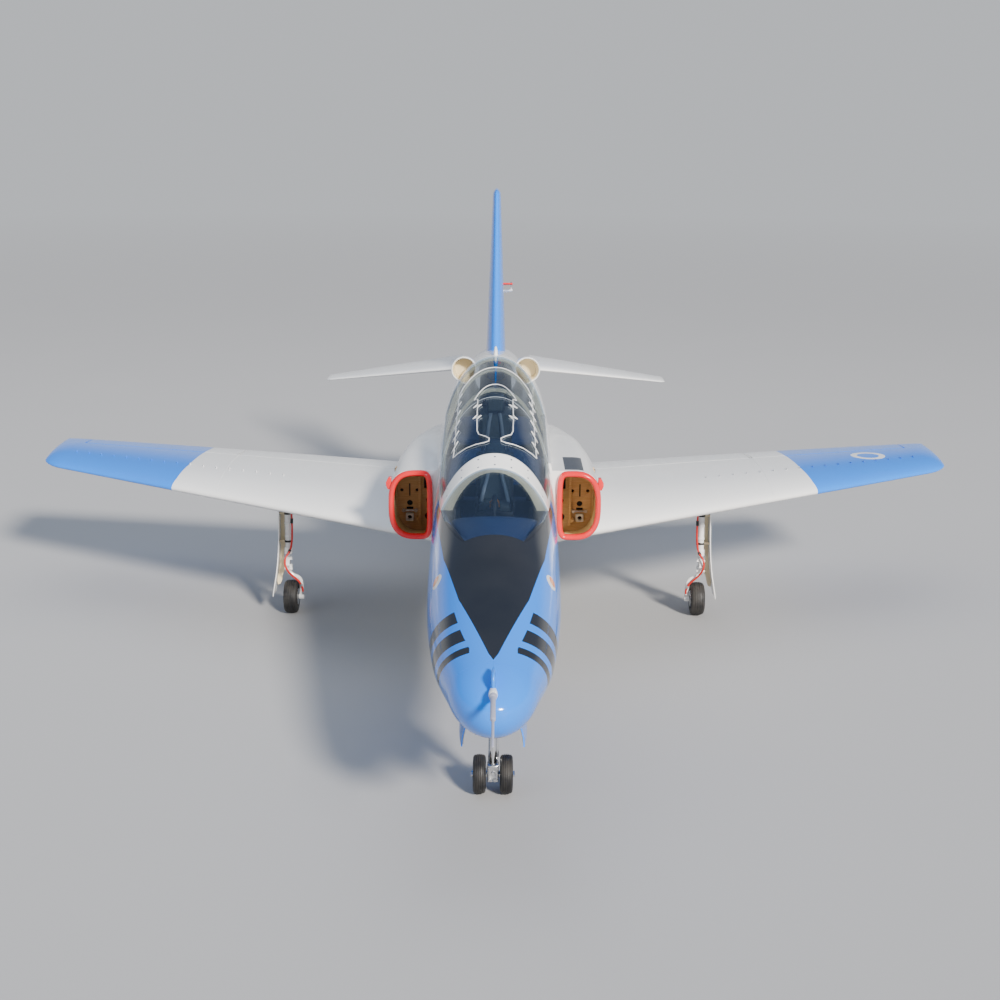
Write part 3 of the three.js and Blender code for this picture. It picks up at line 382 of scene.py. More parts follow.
def drop(*objects):
    for o in objects:
        mesh = o.data
        bpy.data.objects.remove(o)
        if mesh.users == 0:
            bpy.data.meshes.remove(mesh)


def bake(o):
    """Applies an object's modifiers and gives the object its own finished mesh."""
    graph = bpy.context.evaluated_depsgraph_get()
    mesh = bpy.data.meshes.new_from_object(o.evaluated_get(graph))
    old = o.data
    o.modifiers.clear()
    o.data = mesh
    if old.users == 0:
        bpy.data.meshes.remove(old)
    mesh.name = o.name
    return o


def combine(o, operation, *tools, keep=()):
    """Boolean of an object with tools, which are removed unless they are in keep."""
    for tool in tools:
        m = o.modifiers.new("bool", "BOOLEAN")
        m.object, m.operation, m.solver = tool, operation, "MANIFOLD"
    bake(o)
    drop(*[t for t in tools if t not in keep])
    return shade(o)


def cut(o, *tools, keep=()):
    return combine(o, "DIFFERENCE", *tools, keep=keep)


def clip(o, *tools, keep=()):
    return combine(o, "INTERSECT", *tools, keep=keep)


def fuse(o, *tools):
    return combine(o, "UNION", *tools)


def copy_of(o, name):
    return placed(name, o.data.copy())


def body_solid(name, start, end, inset=0.0, side_inset=None, step=10.0):
    return loft(name, [body_ring(s, inset, side_inset) for s in stations(start, end, step)])


def d_solid(name, start, end, side, inner_x, inset):
    return loft(name, [d_ring(s, side, inner_x, inset) for s in stations(start, end)])


def block(xs, ss, zs, name="block"):
    (x0, x1), (s0, s1), (z0, z1) = sorted(xs), ss, zs
    return loft(name, [[(x0, s, z0), (x1, s, z0), (x1, s, z1), (x0, s, z1)] for s in (s0, s1)])


def above_sill(start, end, lift=0.0, roof=620):
    """Everything over the sill line between two stations."""
    return loft("sill", [[(-200, s, z), (200, s, z), (200, s, roof), (-200, s, roof)]
                         for s, z in ((s, sill_z(s) + lift) for s in (start, end))])


def basis(direction):
    d = unit(direction)
    side = unit(np.cross(d, (0, 0, 1) if abs(d[2]) < 0.9 else (0, 1, 0)))
    return side, np.cross(d, side), d


def circle(u, v, count):
    """Unit circle spanned by two directions."""
    a = turn(count)[:, None]
    return np.cos(a) * u + np.sin(a) * v


def spun(name, profile, origin, direction, segments, ringed=False):
    """Lathe-turned form: (radius, distance) pairs round a line."""
    u, v, d = basis(direction)
    rim = circle(u, v, segments)
    return loft(name, [np.asarray(origin, float) + rim * max(r, POINT) + d * h
                       for r, h in profile], ringed)


def rod(a, b, radius, end_radius=None, segments=20, edge=None, name="rod"):
    """Round bar between two points, with a small chamfer at both ends."""
    a, b = np.asarray(a, float), np.asarray(b, float)
    length = np.linalg.norm(b - a)
    end = radius if end_radius is None else end_radius
    e = min(0.4, radius * 0.3, length * 0.2) if edge is None else edge
    profile = [(radius - e, 0), (radius, e), (end, length - e), (end - e, length)]
    return spun(name, profile, a, b - a, segments)


def tube(name, path, radius, segments, closed=False, flat=1.0):
    """Round cord along a path; flat squeezes it towards the ground."""
    p = np.asarray(path, float)
    ahead = np.roll(p, -1, 0) - np.roll(p, 1, 0)
    if not closed:
        ahead[0], ahead[-1] = p[1] - p[0], p[-1] - p[-2]
    ahead /= np.linalg.norm(ahead, axis=1)[:, None]
    rings = []
    side = basis(ahead[0])[0]
    for point, d in zip(p, ahead):
        side = unit(side - d * np.dot(side, d))
        rings.append(point + radius * circle(side, np.cross(d, side), segments) * [1, 1, flat])
    return loft(name, rings, closed)


def curve_through(points, steps):
    """Smooth path through a few points (Catmull-Rom)."""
    p = np.asarray(points, float)
    p = np.concatenate([[2 * p[0] - p[1]], p, [2 * p[-1] - p[-2]]])
    out = []
    for i in range(1, len(p) - 2):
        for t in np.arange(steps) / steps:
            a, b, c, d = p[i - 1:i + 3]
            out.append(0.5 * (2 * b + (c - a) * t + (2 * a - 5 * b + 4 * c - d) * t ** 2
                              + (3 * b - a - 3 * c + d) * t ** 3))
    return np.array(out + [p[-2]])


def joined(name, parts):
    """One object from several, without merging their surfaces."""
    points, faces, base = [], [], 0
    for o in parts:
        points += [tuple(v.co) for v in o.data.vertices]
        faces += [tuple(base + i for i in f.vertices) for f in o.data.polygons]
        base = len(points)
    mesh = bpy.data.meshes.new(name)
    mesh.from_pydata(points, [], faces)
    drop(*parts)
    return shade(placed(name, mesh))


def soften(o, width=0.5):
    """Small bevel on every sharp edge."""
    m = o.modifiers.new("bevel", "BEVEL")
    m.width, m.segments = width * MM, 2
    m.limit_method, m.angle_limit = "ANGLE", math.radians(30)
    return shade(bake(o), 40)


def hinged_space(start, end, radii, across, grow=0.0, end_grow=0.0):
    """Room of a hinged surface: a wedge behind its hinge line with a round nose."""
    start, end, across = (np.asarray(v, float) for v in (start, end, across))
    aft = np.array([0, 1.0, 0])
    along = unit(end - start)
    ends = [start - along * end_grow, end + along * end_grow]
    corners = ((-90, 0), (90, 0), (90, 400), (-90, 400))
    wedge = loft("space", [[p + across * a + aft * b for a, b in corners] for p in ends])
    nose = loft("space_nose", [p + (r + grow) * circle(across, aft, 48)
                               for p, r in zip(ends, radii)])
    return fuse(wedge, nose)


def set_material(o, material):
    o.data.materials.clear()
    o.data.materials.append(material)


def finish_piece(o, material, *nodes, body="airframe", slot=None):
    """Gives a piece its material, its body and the CAD nodes it stands for."""
    set_material(o, material)
    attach(o, body)
    slot or SLOTS[material]
    if nodes:
        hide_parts(*nodes)


# ------------------------------------------------------------------ materials

PAINT_EDGE = 0.0003


class Graph:
    """Small builder for a node material in object coordinates (metres, row frame)."""

    def __init__(self, name):
        self.material = bpy.data.materials.new(name)
        self.material.use_nodes = True
        self.tree = self.material.node_tree
        self.tree.nodes.clear()
        self.out = self.node("ShaderNodeOutputMaterial")
        self.place = self.node("ShaderNodeTexCoord").outputs["Object"]
        xyz = self.node("ShaderNodeSeparateXYZ")
        self.link(self.place, xyz.inputs[0])
        self.x, y, self.z = xyz.outputs
        self.side = self.math("ABSOLUTE", self.x)
        self.station = self.math("ADD", y, MID * MM)

    def node(self, kind, **settings):
        n = self.tree.nodes.new(kind)
        for key, value in settings.items():
            setattr(n, key, value)
        return n

    def link(self, value, socket):
        if isinstance(value, bpy.types.NodeSocket):
            self.tree.links.new(value, socket)
        elif value is not None:
            socket.default_value = value

    def set(self, node, **inputs):
        for key, value in inputs.items():
            self.link(value, node.inputs[key])

    def math(self, operation, a, b=None):
        n = self.node("ShaderNodeMath", operation=operation)
        for value, socket in zip((a, b), n.inputs):
            self.link(value, socket)
        return n.outputs[0]

    def all_of(self, *masks):
        total = masks[0]
        for m in masks[1:]:
            total = self.math("MULTIPLY", total, m)
        return total

    def above(self, value, limit):
        """1 where value is over limit, with a thin soft edge."""
        over = self.math("DIVIDE", self.math("SUBTRACT", value, limit), PAINT_EDGE)
        n = self.node("ShaderNodeClamp")
        self.link(self.math("ADD", over, 0.5), n.inputs[0])
        return n.outputs[0]

    def below(self, value, limit):
        return self.math("SUBTRACT", 1.0, self.above(value, limit))

    def distance(self, a, b):
        squares = [self.math("MULTIPLY", v, v) for v in (a, b)]
        return self.math("SQRT", self.math("ADD", *squares))

    def between(self, value, low, high):
        return self.all_of(self.above(value, low), self.below(value, high))

    def line(self, value, pairs):
        """Piecewise-linear function of a value, from (value, result) pairs."""
        result = None
        for (a, va), (b, vb) in zip(pairs, pairs[1:]):
            n = self.node("ShaderNodeMapRange")
            for socket, v in zip(n.inputs, (value, a, b, 0.0, vb - va)):
                self.link(v, socket)
            result = n.outputs[0] if result is None else self.math(
                "ADD", result, n.outputs[0])
        return self.math("ADD", result, pairs[0][1])

    def mix(self, factor, a, b):
        n = self.node("ShaderNodeMix", data_type="RGBA")
        for value, socket in zip((factor, a, b), (n.inputs[0], n.inputs[6], n.inputs[7])):
            self.link((*value, 1) if isinstance(value, tuple) and len(value) == 3 else value,
                      socket)
        return n.outputs[2]

    def noise(self, scale, detail, stretch=None, rough=0.5):
        n = self.node("ShaderNodeTexNoise")
        place = self.place
        if stretch:
            m = self.node("ShaderNodeMapping")
            self.set(m, Scale=stretch, Vector=place)
            place = m.outputs[0]
        self.set(n, Scale=scale, Detail=detail, Roughness=rough, Vector=place)
        return n.outputs["Fac"]

    def range(self, value, low, high, start=0.0, end=1.0):
        n = self.node("ShaderNodeMapRange")
        for socket, v in zip(n.inputs, (value, start, end, low, high)):
            self.link(v, socket)
        return n.outputs[0]

    def bump(self, height, distance, strength):
        n = self.node("ShaderNodeBump")
        self.set(n, Strength=strength, Distance=distance, Height=height)
        return n.outputs[0]

    def surface(self, color, roughness, metallic=0.0, normal=None, **inputs):
        n = self.node("ShaderNodeBsdfPrincipled")
        self.set(n, **{"Base Color": color, "Roughness": roughness, "Metallic": metallic,
                       "Normal": normal, **inputs})
        self.link(n.outputs[0], self.out.inputs[0])
        return self.material


WHITE, BLUE, BLACK = (0.88, 0.88, 0.865), (0.001, 0.225, 0.90), (0.003, 0.004, 0.007)
CREAM, RED, ORANGE = (0.78, 0.66, 0.42), (0.80, 0.004, 0.012), (0.80, 0.2, 0.02)


def gloss(g, color):
    """Gloss paint: faint mottling, orange peel and handling marks under a clear coat."""
    mottled = g.mix(g.range(g.noise(9, 4), 0.0, 0.06), color, (0.35, 0.34, 0.31))
    marks = g.range(g.noise(60, 6, (1, 0.3, 1)), 0.14, 0.22, 0.35, 0.8)
    peel = g.bump(g.noise(420, 2), 0.00006, 0.5)
    return g.surface(mottled, marks, normal=peel, **{"Coat Weight": 0.45, "Coat Roughness": 0.05,
                                                     "Coat Normal": peel})


def paint(name, color, *zones):
    """Gloss paint whose zones are (function of the graph giving a mask, colour) pairs."""
    g = Graph(name)
    for mask, other in zones:
        color = g.mix(mask(g), color, other)
    return gloss(g, color)


def blue_front(g):
    """Blue nose, with a swept boundary just behind the front hoop."""
    edge = g.line(g.z, [(0.18, 0.70), (0.24, 0.655), (0.30, 0.622), (0.36, 0.600)])
    return g.below(g.station, edge)


def glare_panel(g):
    """Black panel ahead of the windscreen, tapering to a point near the nose."""
    half = g.line(g.station, [(0.078, 0.0), (0.092, 0.006), (0.156, 0.0235), (0.238, 0.0465),
                              (0.37, 0.071), (0.50, 0.084), (0.56, 0.0885)])
    return g.all_of(g.below(g.side, half), g.below(g.station, 0.575),
                    g.above(g.z, g.line(g.station, [(0.07, 0.25), (0.3, 0.29), (0.58, 0.33)])))


def nose_bars(g):
    """Three plain slanted bars on each side of the nose, in place of a painted code."""
    along = g.math("ADD", g.station, g.math("MULTIPLY", g.math("SUBTRACT", g.z, 0.27), 0.55))
    bars = [g.between(along, start, start + width) for start, width in (
        (0.108, 0.017), (0.142, 0.034), (0.196, 0.034))]
    total = g.math("MAXIMUM", g.math("MAXIMUM", bars[0], bars[1]), bars[2])
    upper = g.line(g.station, [(0.08, 0.279), (0.16, 0.290), (0.25, 0.303)])
    return g.all_of(total, g.above(g.z, 0.222), g.below(g.z, upper), g.above(g.side, 0.03))


def spot(station, z, radius, stretch):
    """Round or oval mark on both sides of the body."""
    def mask(g):
        a = g.math("DIVIDE", g.math("SUBTRACT", g.station, station), stretch)
        b = g.math("SUBTRACT", g.z, z)
        return g.all_of(g.below(g.distance(a, b), radius), g.above(g.side, 0.05))
    return mask


def walkway(g):
    """Dark step patch on top of the left intake."""
    return g.all_of(g.between(g.x, 0.117, 0.149), g.between(g.station, 0.806, 0.905),
                    g.above(g.z, 0.33))


def tip_blue(g):
    """Blue wing tip: the boundary runs a little inboard towards the trailing edge."""
    lead = g.line(g.side, [(0.0, 0.766), (0.9, 1.270)])
    back = g.math("SUBTRACT", g.station, lead)
    edge = g.line(back, [(-0.01, 0.610), (0.03, 0.603), (0.12, 0.594), (0.3, 0.586)])
    return g.above(g.side, edge)


def tip_ring(g):
    """Plain white ring on the left wing tip's top, in place of a national marking."""
    d = g.distance(g.math("SUBTRACT", g.x, 0.752), g.math("SUBTRACT", g.station, 1.325))
    return g.all_of(g.below(d, 0.034), g.above(d, 0.022), g.above(g.z, 0.2685))


def plywood(name, along, pale, brown, streak):
    """Birch plywood: pale and brown fibres along one axis, with broad darker streaks."""
    g = Graph(name)
    fibre = g.noise(55, 8, along, 0.7)
    tone = g.mix(g.range(fibre, 0, 1, 0.3, 0.75), brown, pale)
    tone = g.mix(g.range(g.noise(14, 3, along), 0, 0.45), tone, streak)
    return g.surface(tone, g.range(fibre, 0.5, 0.75), normal=g.bump(fibre, 0.0004, 0.35))


def metal(name, color, roughness, brushed=(1, 1, 12)):
    """Bare metal with fine brushed lines along one axis and duller patches."""
    g = Graph(name)
    lines = g.noise(180, 5, brushed, 0.7)
    tone = g.mix(g.range(g.noise(25, 4), 0, 0.25), (*color, 1), tuple(c * 0.6 for c in color))
    return g.surface(tone, g.range(lines, roughness * 0.6, roughness * 1.5, 0.3, 0.75), 1.0,
                     g.bump(lines, 0.00006, 0.25))


def plastic(name, color, roughness, grain=900, relief=0.00008):
    """Moulded plastic or cloth: fine grain, slightly uneven tone and gloss."""
    g = Graph(name)
    fine = g.noise(grain, 2)
    tone = g.mix(g.range(g.noise(20, 4), 0, 0.3), (*color, 1), tuple(c * 0.65 for c in color))
    return g.surface(tone, g.range(g.noise(70, 5), roughness * 0.8, roughness * 1.2),
                     normal=g.bump(fine, relief, 0.4))


def rubber(name):
    """Tyre rubber with worn, dusty patches and fine side-wall grain."""
    g = Graph(name)
    dust = g.range(g.noise(38, 6, None, 0.65), 0.0, 1.0, 0.42, 0.72)
    tone = g.mix(dust, (0.012, 0.012, 0.013), (0.055, 0.05, 0.044))
    return g.surface(tone, g.range(dust, 0.5, 0.85), normal=g.bump(g.noise(600, 4), 0.0002, 0.5))


def glazing(name, tint):
    """Thin moulded glazing: clear face on, bright at grazing angles, with faint scuffs."""
    g = Graph(name)
    clear = g.node("ShaderNodeBsdfTransparent")
    clear.inputs[0].default_value = (*tint, 1)
    shine = g.node("ShaderNodeBsdfGlossy")
    g.link(g.range(g.noise(45, 6, (1, 0.4, 1)), 0.0, 0.06, 0.4, 0.9), shine.inputs["Roughness"])
    g.link(g.bump(g.noise(14, 2), 0.0008, 0.12), shine.inputs["Normal"])
    facing = g.node("ShaderNodeFresnel")
    facing.inputs["IOR"].default_value = 1.42
    blend = g.node("ShaderNodeMixShader")
    g.link(g.math("MULTIPLY", facing.outputs[0], 0.40), blend.inputs[0])
    g.link(clear.outputs[0], blend.inputs[1])
    g.link(shine.outputs[0], blend.inputs[2])
    g.link(blend.outputs[0], g.out.inputs[0])
    return g.material


hull_paint = paint(
    "hull_paint", WHITE, (blue_front, BLUE), (nose_bars, BLACK), (glare_panel, BLACK),
    (spot(0.337, 0.302, 0.0105, 1.35), (0.8, 0.8, 0.78)),
    (spot(0.343, 0.301, 0.0075, 1.25), ORANGE), (walkway, BLACK))
blue_paint = paint("blue_paint", BLUE)
white_paint = paint("white_paint", WHITE)
red_paint = paint("red_paint", RED)
cream_paint = paint("cream_paint", CREAM)
wing_paint = paint("wing_paint", WHITE, (tip_blue, BLUE), (tip_ring, WHITE))
ply = plywood("plywood", (1, 14, 14), (0.86, 0.62, 0.34), (0.58, 0.35, 0.15), (0.50, 0.28, 0.11))
duct_ply = plywood("duct_plywood", (14, 1, 14), (0.88, 0.76, 0.50), (0.70, 0.56, 0.32),
                   (0.56, 0.42, 0.22))
chrome = metal("chrome", (0.78, 0.79, 0.8), 0.09)
alloy = metal("machined_alloy", (0.66, 0.67, 0.68), 0.28)
dark_alloy = metal("anodised_alloy", (0.10, 0.10, 0.11), 0.38)
steel = metal("heat_steel", (0.47, 0.43, 0.38), 0.33, (12, 1, 12))
tub_plastic = plastic("tub_plastic", (0.012, 0.035, 0.12), 0.42)
black_plastic = plastic("black_plastic", (0.012, 0.012, 0.013), 0.5)
grey_plastic = plastic("grey_plastic", (0.16, 0.17, 0.18), 0.55)
tank_plastic = plastic("tank_plastic", (0.62, 0.62, 0.58), 0.35)
battery_film = plastic("battery_film", (0.03, 0.10, 0.34), 0.25, 120)
red_line = plastic("red_line", (0.6, 0.02, 0.012), 0.3)
probe_paint = plastic("probe_paint", (0.36, 0.37, 0.47), 0.3)
orange_plastic = plastic("orange_plastic", (0.75, 0.28, 0.02), 0.4)
seat_cloth = plastic("seat_cloth", (0.035, 0.04, 0.035), 0.85, 700, 0.0004)
cord_white = plastic("cord_white", (0.8, 0.8, 0.78), 0.45)
tyre_rubber = rubber("tyre_rubber")
clear_glass = glazing("clear_glazing", (0.80, 0.86, 0.92))
screen_glass = glazing("screen_glazing", (0.80, 0.85, 0.90))
SLOTS = {m: slot for slot, materials in (
    ("white_gloss", (hull_paint, white_paint, wing_paint, cream_paint, cord_white)),
    ("blue_gloss", (blue_paint,)), ("red_gloss", (red_paint,)), ("plywood", (ply, duct_ply)),
    ("chrome_steel", (chrome,)), ("aluminium", (alloy, probe_paint)),
    ("seat_black", (black_plastic, grey_plastic, orange_plastic, seat_cloth)),
    ("cockpit_blue", (tub_plastic,)), ("tyre_rubber", (tyre_rubber,)),
    ("clear_glazing", (clear_glass, screen_glass))) for m in materials}


# ------------------------------------------------------------------ fuselage skin

def hull_solid(name, start, end, inset, step, mouth):
    """Hull between two stations; both trunks begin square at the station mouth."""
    trunk = TRUNK_START - 2
    rings = [hull_ring(s, inset) for s in stations(start, trunk - 4, step)]
    for s, shown in ((trunk - 0.1, mouth - 0.1), (trunk, mouth)):
        ring = hull_ring(s, inset)
        ring[:, 1] = shown
        rings.append(ring)
    return loft(name, rings + [hull_ring(s, inset) for s in stations(trunk + 2, end, step)])


hull_outer = hull_solid("hull_outer", NOSE_ROUND + GAP, HULL_END, 0, 9, TRUNK_START - 2)
hull_inner = hull_solid("hull_inner", 60, HULL_END + 10, SKIN, 14, TRUNK_START - 4)


NOSE_DOORS = ((106, 35), (291, 42))
MAIN_STATION, MAIN_LEG_X, MAIN_PIVOT_Z, MAIN_AXLE_Z = 1139, 396, 238, 32
STOWED_X = MAIN_LEG_X - (MAIN_PIVOT_Z - MAIN_AXLE_Z)
NOSE_STATION, NOSE_PIVOT_Z, NOSE_AXLE_Z = 312, 200, 28


def bay_column(side, inner, margin, z0=120):
    """Column over one nose door, from its centre-line edge out to its hinge line."""
    rings, z1 = [], 214
    for (s, x), over in zip(NOSE_DOORS, (margin, -margin)):
        corners = ((inner, z0), (x - margin, z0), (x - margin, z1), (inner, z1))
        rings.append([(side * a, s + over, z) for a, z in corners])
    return loft("bay", rings)


def nose_bay():
    back = NOSE_DOORS[1][0]
    return fuse(bay_column(1, -35, -1), bay_column(-1, -35, -1),
                block((-21, 21), (back, NOSE_STATION + 32), (120, 214)))


def wheel_well(side):
    return fuse(*[rod((side * x, MAIN_STATION, 150), (side * x, MAIN_STATION, 259), 36,
                      segments=48, edge=0.1) for x in (STOWED_X - 3, STOWED_X + 10)])


def groove_ring(station):
    """Ring that scores a joint line right round the body."""
    depth, half = 0.45, 0.45
    rings = [hull_ring(station + half * way, inset) for way, inset in (
        (-1, -1), (-1, depth), (1, depth), (1, -1))]
    return loft("groove", rings, ringed=True)


def hatch_groove(s0, s1, x0, x1, upper):
    """Scored outline of a hatch on the body's top or belly."""
    corners = ((s0, x0), (s1, x0), (s1, x1), (s0, x1))
    path = []
    for (sa, xa), (sb, xb) in zip(corners, corners[1:] + corners[:1]):
        for t in np.arange(14) / 14:
            path.append(on_body(mix(sa, sb, t), mix(xa, xb, t), 0, upper))
    return tube("hatch", path, 0.55, 6, closed=True)


skin = cut(
    hull_outer, hull_inner,
    above_sill(WINDSCREEN_FRONT - GAP, CANOPY_END + GAP), nose_bay(),
    rod((-200, STAB_PIVOT, STAB_Z), (200, STAB_PIVOT, STAB_Z), 6.5),
    wheel_well(1), wheel_well(-1),
    groove_ring(1560), groove_ring(1834), hatch_groove(430, 560, -40, 40, False),
    hatch_groove(1240, 1300, -34, 34, True), hatch_groove(1400, 1500, -52, 52, False),
    hatch_groove(660, 770, -52, 52, False), keep=(hull_inner,))
for name, s0, s1, body_node in (
        ("hull_front", 0, JOINTS[0], "fuselage_front"),
        ("hull_centre", JOINTS[0] + GAP, JOINTS[1], "fuselage_centre"),
        ("hull_rear", JOINTS[1] + GAP, HULL_END + 5, "fuselage_rear")):
    part = clip(copy_of(skin, name), block((-600, 600), (s0, s1), (-50, 900)))
    finish_piece(part, hull_paint, body_node, slot="white_gloss" if s0 else "blue_gloss")
drop(skin)
nose = cut(body_solid("nose_cap", 0.6, NOSE_ROUND, step=3), body_solid("in", 7, 80, 3))
finish_piece(nose, hull_paint, "nose_tip", slot="blue_gloss")


# ------------------------------------------------------------------ wings and tail

def wing_hinged_space(side, span, grow=0.0, end_grow=0.0):
    radii = []
    for x in span:
        _, chord, thickness, _, _ = wing_values(x)
        radii.append(half_thickness(HINGE) * thickness * chord)
    start, end = (on_wing(x, side, HINGE, None) for x in span)
    return hinged_space(start, end, radii, (0, 0, 1), grow, end_grow)


def wing_tip_steps():
    return [HALF_SPAN - TIP_ROUND * (1 - math.sin(math.pi / 2 * i / 14)) for i in range(15)]


def leg_slot(side):
    return block((side * STOWED_X, side * 438), (MAIN_STATION - 27, MAIN_STATION + 27),
                 (150, 251))


def surface_line(side, spots, upper=True):
    """Scored line on the wing through (x, chord fraction) spots."""
    path = []
    for (xa, fa), (xb, fb) in zip(spots, spots[1:]):
        n = max(int(max(abs(xb - xa) / 20, abs(fb - fa) * 25)), 2)
        for t in np.arange(n) / n:
            path.append(on_wing(mix(xa, xb, t), side, mix(fa, fb, t), upper))
    return tube("score", path + [on_wing(spots[-1][0], side, spots[-1][1], upper)], 0.5, 6)


def fitted_wing(name, side):
    steps = list(np.linspace(100, HALF_SPAN - TIP_ROUND, 30))[:-1] + wing_tip_steps()
    whole = cut(loft("wing_" + name + "_whole", [wing_ring(x, side) for x in steps]),
                hull_inner, keep=(hull_inner,))
    for label, span, material in (("flap", FLAP_SPAN, white_paint),
                                  ("aileron", AILERON_SPAN, wing_paint)):
        moving = clip(copy_of(whole, f"{label}_surface_{name}"), wing_hinged_space(side, span))
        finish_piece(moving, material, f"{label}_{name}", body=f"{label}_{name}")
    cavity = loft("cavity", [wing_ring(x, side, inset=SKIN, first=0.06, last=0.66)
                             for x in (90, 500, HALF_SPAN - TIP_ROUND - 15)])
    scores = [surface_line(side, [(x, 0.02), (x, 0.73)]) for x in (182, 516)]
    for x, f in ((560, 0.30), (250, 0.52)):
        hatch = [(x, f), (x, f + 0.12), (x + 80, f + 0.12), (x + 80, f), (x, f)]
        scores.append(surface_line(side, hatch, False))
    panel = cut(whole, cavity,
                wing_hinged_space(side, FLAP_SPAN, SURFACE_GAP, END_GAP),
                wing_hinged_space(side, AILERON_SPAN, SURFACE_GAP, END_GAP),
                wheel_well(side), leg_slot(side), *scores)
    panel.name = f"wing_panel_{name}"
    finish_piece(panel, wing_paint, f"wing_{name}")


def small_fin(name, foot, across, up, length, height, thick):
    """Low blade standing on a surface, thin at its top and pointed at both ends."""
    foot, across, up = (np.asarray(v, float) for v in (foot, across, up))
    aft = np.array([0, 1.0, 0])
    rings = []
    for t, width in ((-0.3, 1.0), (0.55, 0.85), (1.0, 0.35)):
        a, b = length / 2 * (1 - 0.28 * max(t, 0)), thick / 2 * width
        rings.append([foot + up * height * t + aft * p * a + across * q * b
                      for p, q in ((-1, 0), (-0.4, 1), (0.5, 1), (1, 0), (0.5, -1), (-0.4, -1))])
    return loft(name, rings)


def vortex_blades(name, side):
    """Row of small blades on the wing's upper skin, ahead of the aileron."""
    parts = []
    for i in range(17):
        x = 400 + i * 27.5
        foot = on_wing(x, side, 0.34)
        parts.append(small_fin("blade", foot, (side * 0.95, 0.3, 0), (0, 0, 1), 11, 3.2, 2.4))
    finish_piece(joined(f"vortex_blades_{name}", parts), wing_paint)


for side_name, side in SIDES:
    fitted_wing(side_name, side)
    vortex_blades(side_name, side)
drop(hull_inner)


hinge_up = unit(fin_hinge(RUDDER_Z[1]) - fin_hinge(RUDDER_Z[0]))
hinge_back = np.cross(hinge_up, (1, 0, 0))
HORN_REACH, PUSHROD = 34, 47
servo_pivot = fin_hinge(HORN_Z) - hinge_back * PUSHROD


def lever_plate(name, origin, outline, thickness=3.0):
    """Flat plate square to the rudder's hinge line, from (across, back) corners."""
    rings = [[origin + np.array([x, 0, 0]) + hinge_back * b + hinge_up * h for x, b in outline]
             for h in (-thickness / 2, thickness / 2)]
    return loft(name, rings)


def tail():
    rings = [fin_ring(z) for z in np.linspace(395, FIN_TIP[0] - TAIL_TIP_ROUND, 24)]
    rings += [fin_ring(z, full) for z, full in rounding(FIN_TIP[0], TAIL_TIP_ROUND, 12, 2.4)]
    whole = loft("fin_whole", rings)
    radii = []
    for z in RUDDER_Z:
        _, chord, thickness = tapered(FIN_ROOT, FIN_TIP, z)
        radii.append(half_thickness(FIN_HINGE) * thickness * chord)
    low, high = (fin_hinge(z) for z in RUDDER_Z)
    slot = lever_plate("arm_slot", servo_pivot, [(0, -20), (0, 20), (30, 20), (30, -20)], 8)
    rudder = clip(copy_of(whole, "rudder_surface"), hinged_space(low, high, radii, (1, 0, 0)))
    cavity = loft("cavity", [fin_ring(z, inset=SKIN, first=0.06, last=0.62)
                             for z in (390, 560, 740)])
    ribs = []
    for z in (520, 600, 680):
        lead, chord, thickness = tapered(FIN_ROOT, FIN_TIP, z)
        for side in (1, -1):
            f = np.linspace(0.03, 0.68, 16)
            h = half_thickness(f) * thickness * chord
            ribs.append(tube("rib", np.stack([side * h, lead + f * chord, np.full(16, z)], 1),
                             0.4, 6))
    fin = cut(whole, hinged_space(low, high, radii, (1, 0, 0), SURFACE_GAP, END_GAP),
              cavity, slot, *ribs)
    fin.name = "fin_panel"
    finish_piece(fin, blue_paint, "fin")
    finish_piece(rudder, blue_paint, "rudder", body="rudder")
    horn = lever_plate("rudder_horn_plate", fin_hinge(HORN_Z), [
        (2, 8), (2, 22), (10, 22), (HORN_REACH + 3, 3), (HORN_REACH + 3, -3),
        (HORN_REACH - 3, -3)])
    finish_piece(soften(horn, 0.4), white_paint, body="rudder", slot="blue_gloss")

    steps = [(x, 1.0) for x in np.linspace(STAB_ROOT[0], STAB_TIP[0] - TAIL_TIP_ROUND, 16)]
    steps += rounding(STAB_TIP[0], TAIL_TIP_ROUND, 10)
    for name, side in SIDES:
        rings = [stab_ring(x, side, full) for x, full in steps]
        o = cut(loft(f"tailplane_{name}", rings),
                rod((-102, STAB_PIVOT, STAB_Z), (102, STAB_PIVOT, STAB_Z), 5.4))
        finish_piece(o, white_paint, f"stab_{name}", body="stabilator")


tail()


# ------------------------------------------------------------------ canopy and cockpit

def body_shell(name, start, end, outer, inner, step, reach, side_inset=None):
    """Skin of the body between two stations, from one depth below its outline to another."""
    return cut(body_solid(name, start, end, outer, step=step),
               body_solid("in", *reach, inner, side_inset))


def arch(name, s0, s1, outer, inner, step, margin, side_inset=None):
    """Hoop that follows the body's outline over the sill; its sides may be deeper."""
    shell = body_shell(name, s0, s1, outer, inner, step, (s0 - margin, s1 + margin), side_inset)
    return clip(shell, above_sill(s0 - 1, s1 + 1, GAP))


